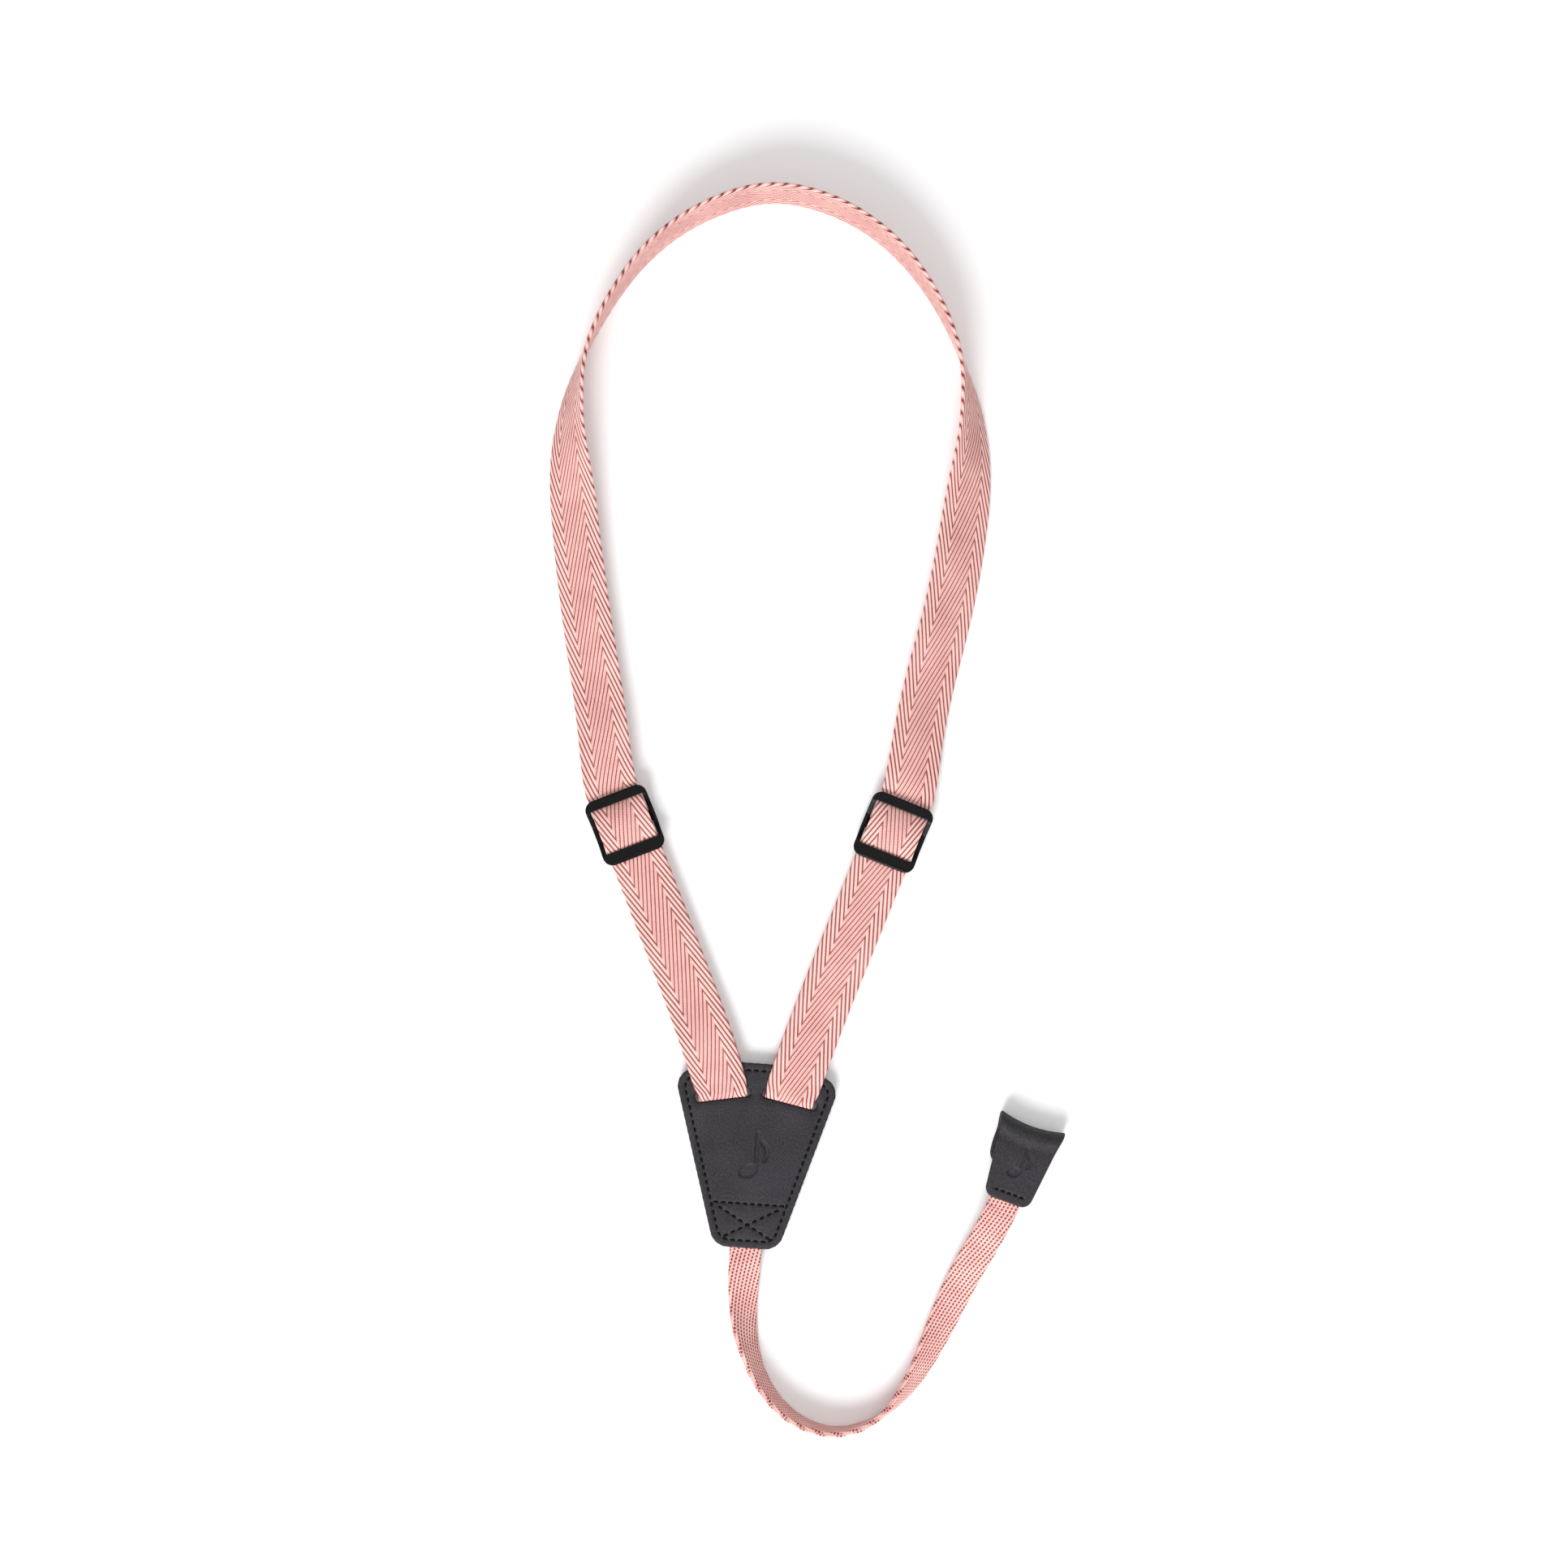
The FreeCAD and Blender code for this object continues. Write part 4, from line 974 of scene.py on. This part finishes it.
def hook_layer(name, outer, inner, flap_end, inset, relief=0.0, lip=0.0):
    """A bent leather layer of the hook with pillowed edges, as one closed skin."""
    middle = HOOK_HIGH / 2
    cols = np.sin(np.linspace(-math.pi / 2, math.pi / 2, 61))
    cols = 0.35 * cols + 0.65 * np.linspace(-1, 1, 61)
    length = HOOK_REACH - middle
    bend = math.pi * (outer + inner) / 2
    flap = length - flap_end
    total = length + bend + flap
    first, last = np.linspace(0, 3, 14)[:-1], np.linspace(total - 3, total, 14)[1:]
    t = np.concatenate([first, np.linspace(3, total - 3, 120), last])
    grid_t, grid_c = np.meshgrid(t, cols, indexing="ij")
    on_panel = np.clip(grid_t, 0, length)
    on_bend = np.clip(grid_t - length, 0, bend) / bend * math.pi
    on_flap = np.clip(grid_t - length - bend, 0, flap)
    height = on_panel - on_flap
    low, top = 8.7 - inset, 12.6 - inset
    wide = low + (top - low) * np.clip((height + 5 * np.sin(on_bend)) / 31.5, 0, 1)
    wide += 0.5 * smooth(20, 31, height + 5 * np.sin(on_bend))
    for gap in (grid_t, total - grid_t):
        short = np.clip(HOOK_CORNER - gap, 0, HOOK_CORNER)
        wide -= HOOK_CORNER - np.sqrt(np.clip(HOOK_CORNER**2 - short**2, 0, None))
    x = grid_c * wide
    dip = 1.9 * (x / 12.6) ** 2 * smooth(6, 22, height + 4)
    ease = min(0.8, (outer - inner) * 0.9)
    to_edge = np.minimum(np.minimum(wide - np.abs(x), grid_t), total - grid_t)
    plump = np.sqrt(np.clip(1 - (1 - np.clip(to_edge / ease, 0, 1)) ** 2, 0, 1))
    half = (outer - inner) / 2 * (0.12 + 0.88 * plump)
    swell = lip * np.exp(-(((grid_t - length - 2.2) / 2.0) ** 2))
    swell -= lip * 0.9 * np.exp(-(((grid_t - length + 3.0) / 2.2) ** 2))
    x = x - 0.8 * smooth(0, 8, on_flap)
    skins = []
    for sign in (1, -1):
        radius = (outer + inner) / 2 + sign * half + (swell if sign > 0 else 0)
        if sign > 0 and relief:
            seat = np.stack([x.ravel(), (height + dip).ravel()], 1)
            press = note_depth(seat, (0.7, 16.0), 1.05).reshape(x.shape)
            row = np.exp(-(((grid_t - 3.4) / 0.5) ** 2)) * (np.abs(x) < 6.6)
            radius = radius - relief * press * (on_bend < 0.01) - 0.22 * row
        y = height + dip + radius * np.sin(on_bend)
        z = middle + radius * np.cos(on_bend)
        skins.append(np.stack([x, y, z], -1))
    rows, across = x.shape
    outer_skin, inner_skin = (s.reshape(-1, 3) for s in skins)
    verts = place(HOOK, np.concatenate([outer_skin, inner_skin]))
    base = rows * across
    i, j = np.meshgrid(np.arange(rows - 1), np.arange(across - 1), indexing="ij")
    a = (i * across + j).ravel()
    quads = np.stack([a, a + 1, a + across + 1, a + across], -1)
    faces = [quads, quads[:, ::-1] + base]
    ring = list(range(across))
    ring += [k * across + across - 1 for k in range(1, rows)]
    ring += [(rows - 1) * across + k for k in range(across - 2, -1, -1)]
    ring += [k * across for k in range(rows - 2, 0, -1)]
    ring = np.array(ring)
    after = np.roll(ring, -1)
    faces.append(np.stack([after, ring, ring + base, after + base], -1))
    return new_object(name, verts, np.concatenate(faces), LEATHER)


def hook():
    """Outer leather with its soft lip, the lining, and the row of stitches."""
    outer = hook_layer("hook_cover", 5.1, 3.55, 11.4, 0.0, relief=0.6, lip=0.5)
    lining = hook_layer("hook_inside", 3.55, 2.35, 11.6, 0.15)
    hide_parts("hook_outer_leather", "hook_stiffener")
    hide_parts("hook_lining")
    for piece in (outer, lining):
        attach(piece, "hook")
    row = np.array([(-6.2, 3.4), (6.2, 3.4)])
    seam("hook_stitches", HOOK, row, HOOK_HIGH - 0.1, 2.5, 1.8, "hook", "hook_stitching")


# --------------------------------------------------------------------- sliders


def moulded(side):
    """The slider with the soft edges of a moulding."""
    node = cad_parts[f"{side}_slider"]
    work = bpy.data.objects.new(f"{side}_slider_work", node.data.copy())
    bpy.context.scene.collection.objects.link(work)
    work.matrix_world = node.matrix_world.copy()
    remesh = work.modifiers.new("voxels", "REMESH")
    remesh.mode = "VOXEL"
    remesh.voxel_size = 0.22 * MM
    soften = work.modifiers.new("soften", "SMOOTH")
    soften.factor = 0.5
    soften.iterations = 7
    bpy.context.view_layer.update()
    graph = bpy.context.evaluated_depsgraph_get()
    mesh = bpy.data.meshes.new_from_object(work.evaluated_get(graph))
    mesh.transform(work.matrix_world)
    mesh.materials.clear()
    mesh.materials.append(PLASTIC)
    mesh.polygons.foreach_set("use_smooth", np.ones(len(mesh.polygons), bool))
    piece = bpy.data.objects.new(f"{side}_slider_frame", mesh)
    bpy.context.scene.collection.objects.link(piece)
    bpy.data.objects.remove(work)
    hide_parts(f"{side}_slider")
    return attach(piece, f"{side}_slider")


def end_tack(side):
    """The zigzag bar tack that holds the folded end."""
    x = np.linspace(-8.3, 8.3, 15)
    y = -12.9 + 0.55 * np.where(np.arange(15) % 2 == 0, 1, -1)
    line = np.stack([x, y, np.full(len(x), 2.92)], 1)
    verts, faces = joined(capsule(a, b, 0.26, 0.12, 0.1) for a, b in zip(line, line[1:]))
    piece = new_object(f"{side}_tack", place(SLIDERS[side], verts), faces, PINK_THREAD)
    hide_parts(f"{side}_end_stitching")
    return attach(piece, f"{side}_slider")


# ----------------------------------------------------------------- stage, light


def camera():
    """Straight above the strap, as far off as a tabletop photographer stands."""
    sensor, height, view_width = 36.0, 1200.0, 594.5
    data = bpy.data.cameras.new("camera")
    data.sensor_width = sensor
    data.lens = sensor * height / view_width
    item = bpy.data.objects.new("camera", data)
    item.location = (-8.6 * MM, 9.2 * MM, height * MM)
    bpy.context.scene.collection.objects.link(item)
    bpy.context.scene.camera = item


def table():
    """A white tabletop, a hair below the strap."""
    half, low = 3000, -0.25
    verts = [(-half, -half, low), (half, -half, low), (half, half, low), (-half, half, low)]
    nodes = Nodes("white_table")
    place_at = nodes.new("ShaderNodeTexCoord").outputs["Object"]
    colour = nodes.mix(nodes.noise(place_at, 3.0), srgb(250, 250, 250), srgb(246, 246, 247))
    nodes.finish(colour, 0.9, None, 0.1)
    new_object("table", verts, [(0, 1, 2, 3)], nodes.material)


def lamp(name, spot, aim, size, power):
    """A round area lamp at a spot in metres, turned towards its aim."""
    data = bpy.data.lights.new(name, "AREA")
    data.shape = "DISK"
    data.size = size
    data.energy = power
    item = bpy.data.objects.new(name, data)
    item.location = spot
    direction = np.array(spot) - np.array(aim)
    yaw = math.atan2(direction[0], -direction[1])
    pitch = math.atan2(math.hypot(direction[0], direction[1]), direction[2])
    item.rotation_euler = (pitch, 0, yaw)
    bpy.context.scene.collection.objects.link(item)


def lights():
    """A low key from the front, a weak top lamp, and a white surround."""
    world = bpy.data.worlds.new("studio")
    world.use_nodes = True
    background = world.node_tree.nodes["Background"]
    background.inputs[0].default_value = (1.0, 1.0, 1.0, 1.0)
    background.inputs[1].default_value = 0.60
    bpy.context.scene.world = world
    lamp("key", (-0.5, -1.45, 1.2), (0, 0, 0), 1.2, 42.0)
    lamp("top", (0.3, 0.5, 1.7), (0, 0, 0), 1.6, 7.0)
    bpy.context.scene.view_settings.view_transform = "Standard"


def main():
    """Makes every piece, the stage and the lights."""
    camera()
    neck_webbing()
    tail_webbing()
    for side in ("left", "right"):
        window_rise(side)
        return_webbing(side)
        end_fold(side)
        end_tack(side)
        moulded(side)
    yoke()
    hook()
    for name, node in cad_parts.items():
        if "stiffener" in name:
            node.data.materials.clear()
            node.data.materials.append(BOARD)
    table()
    lights()


main()
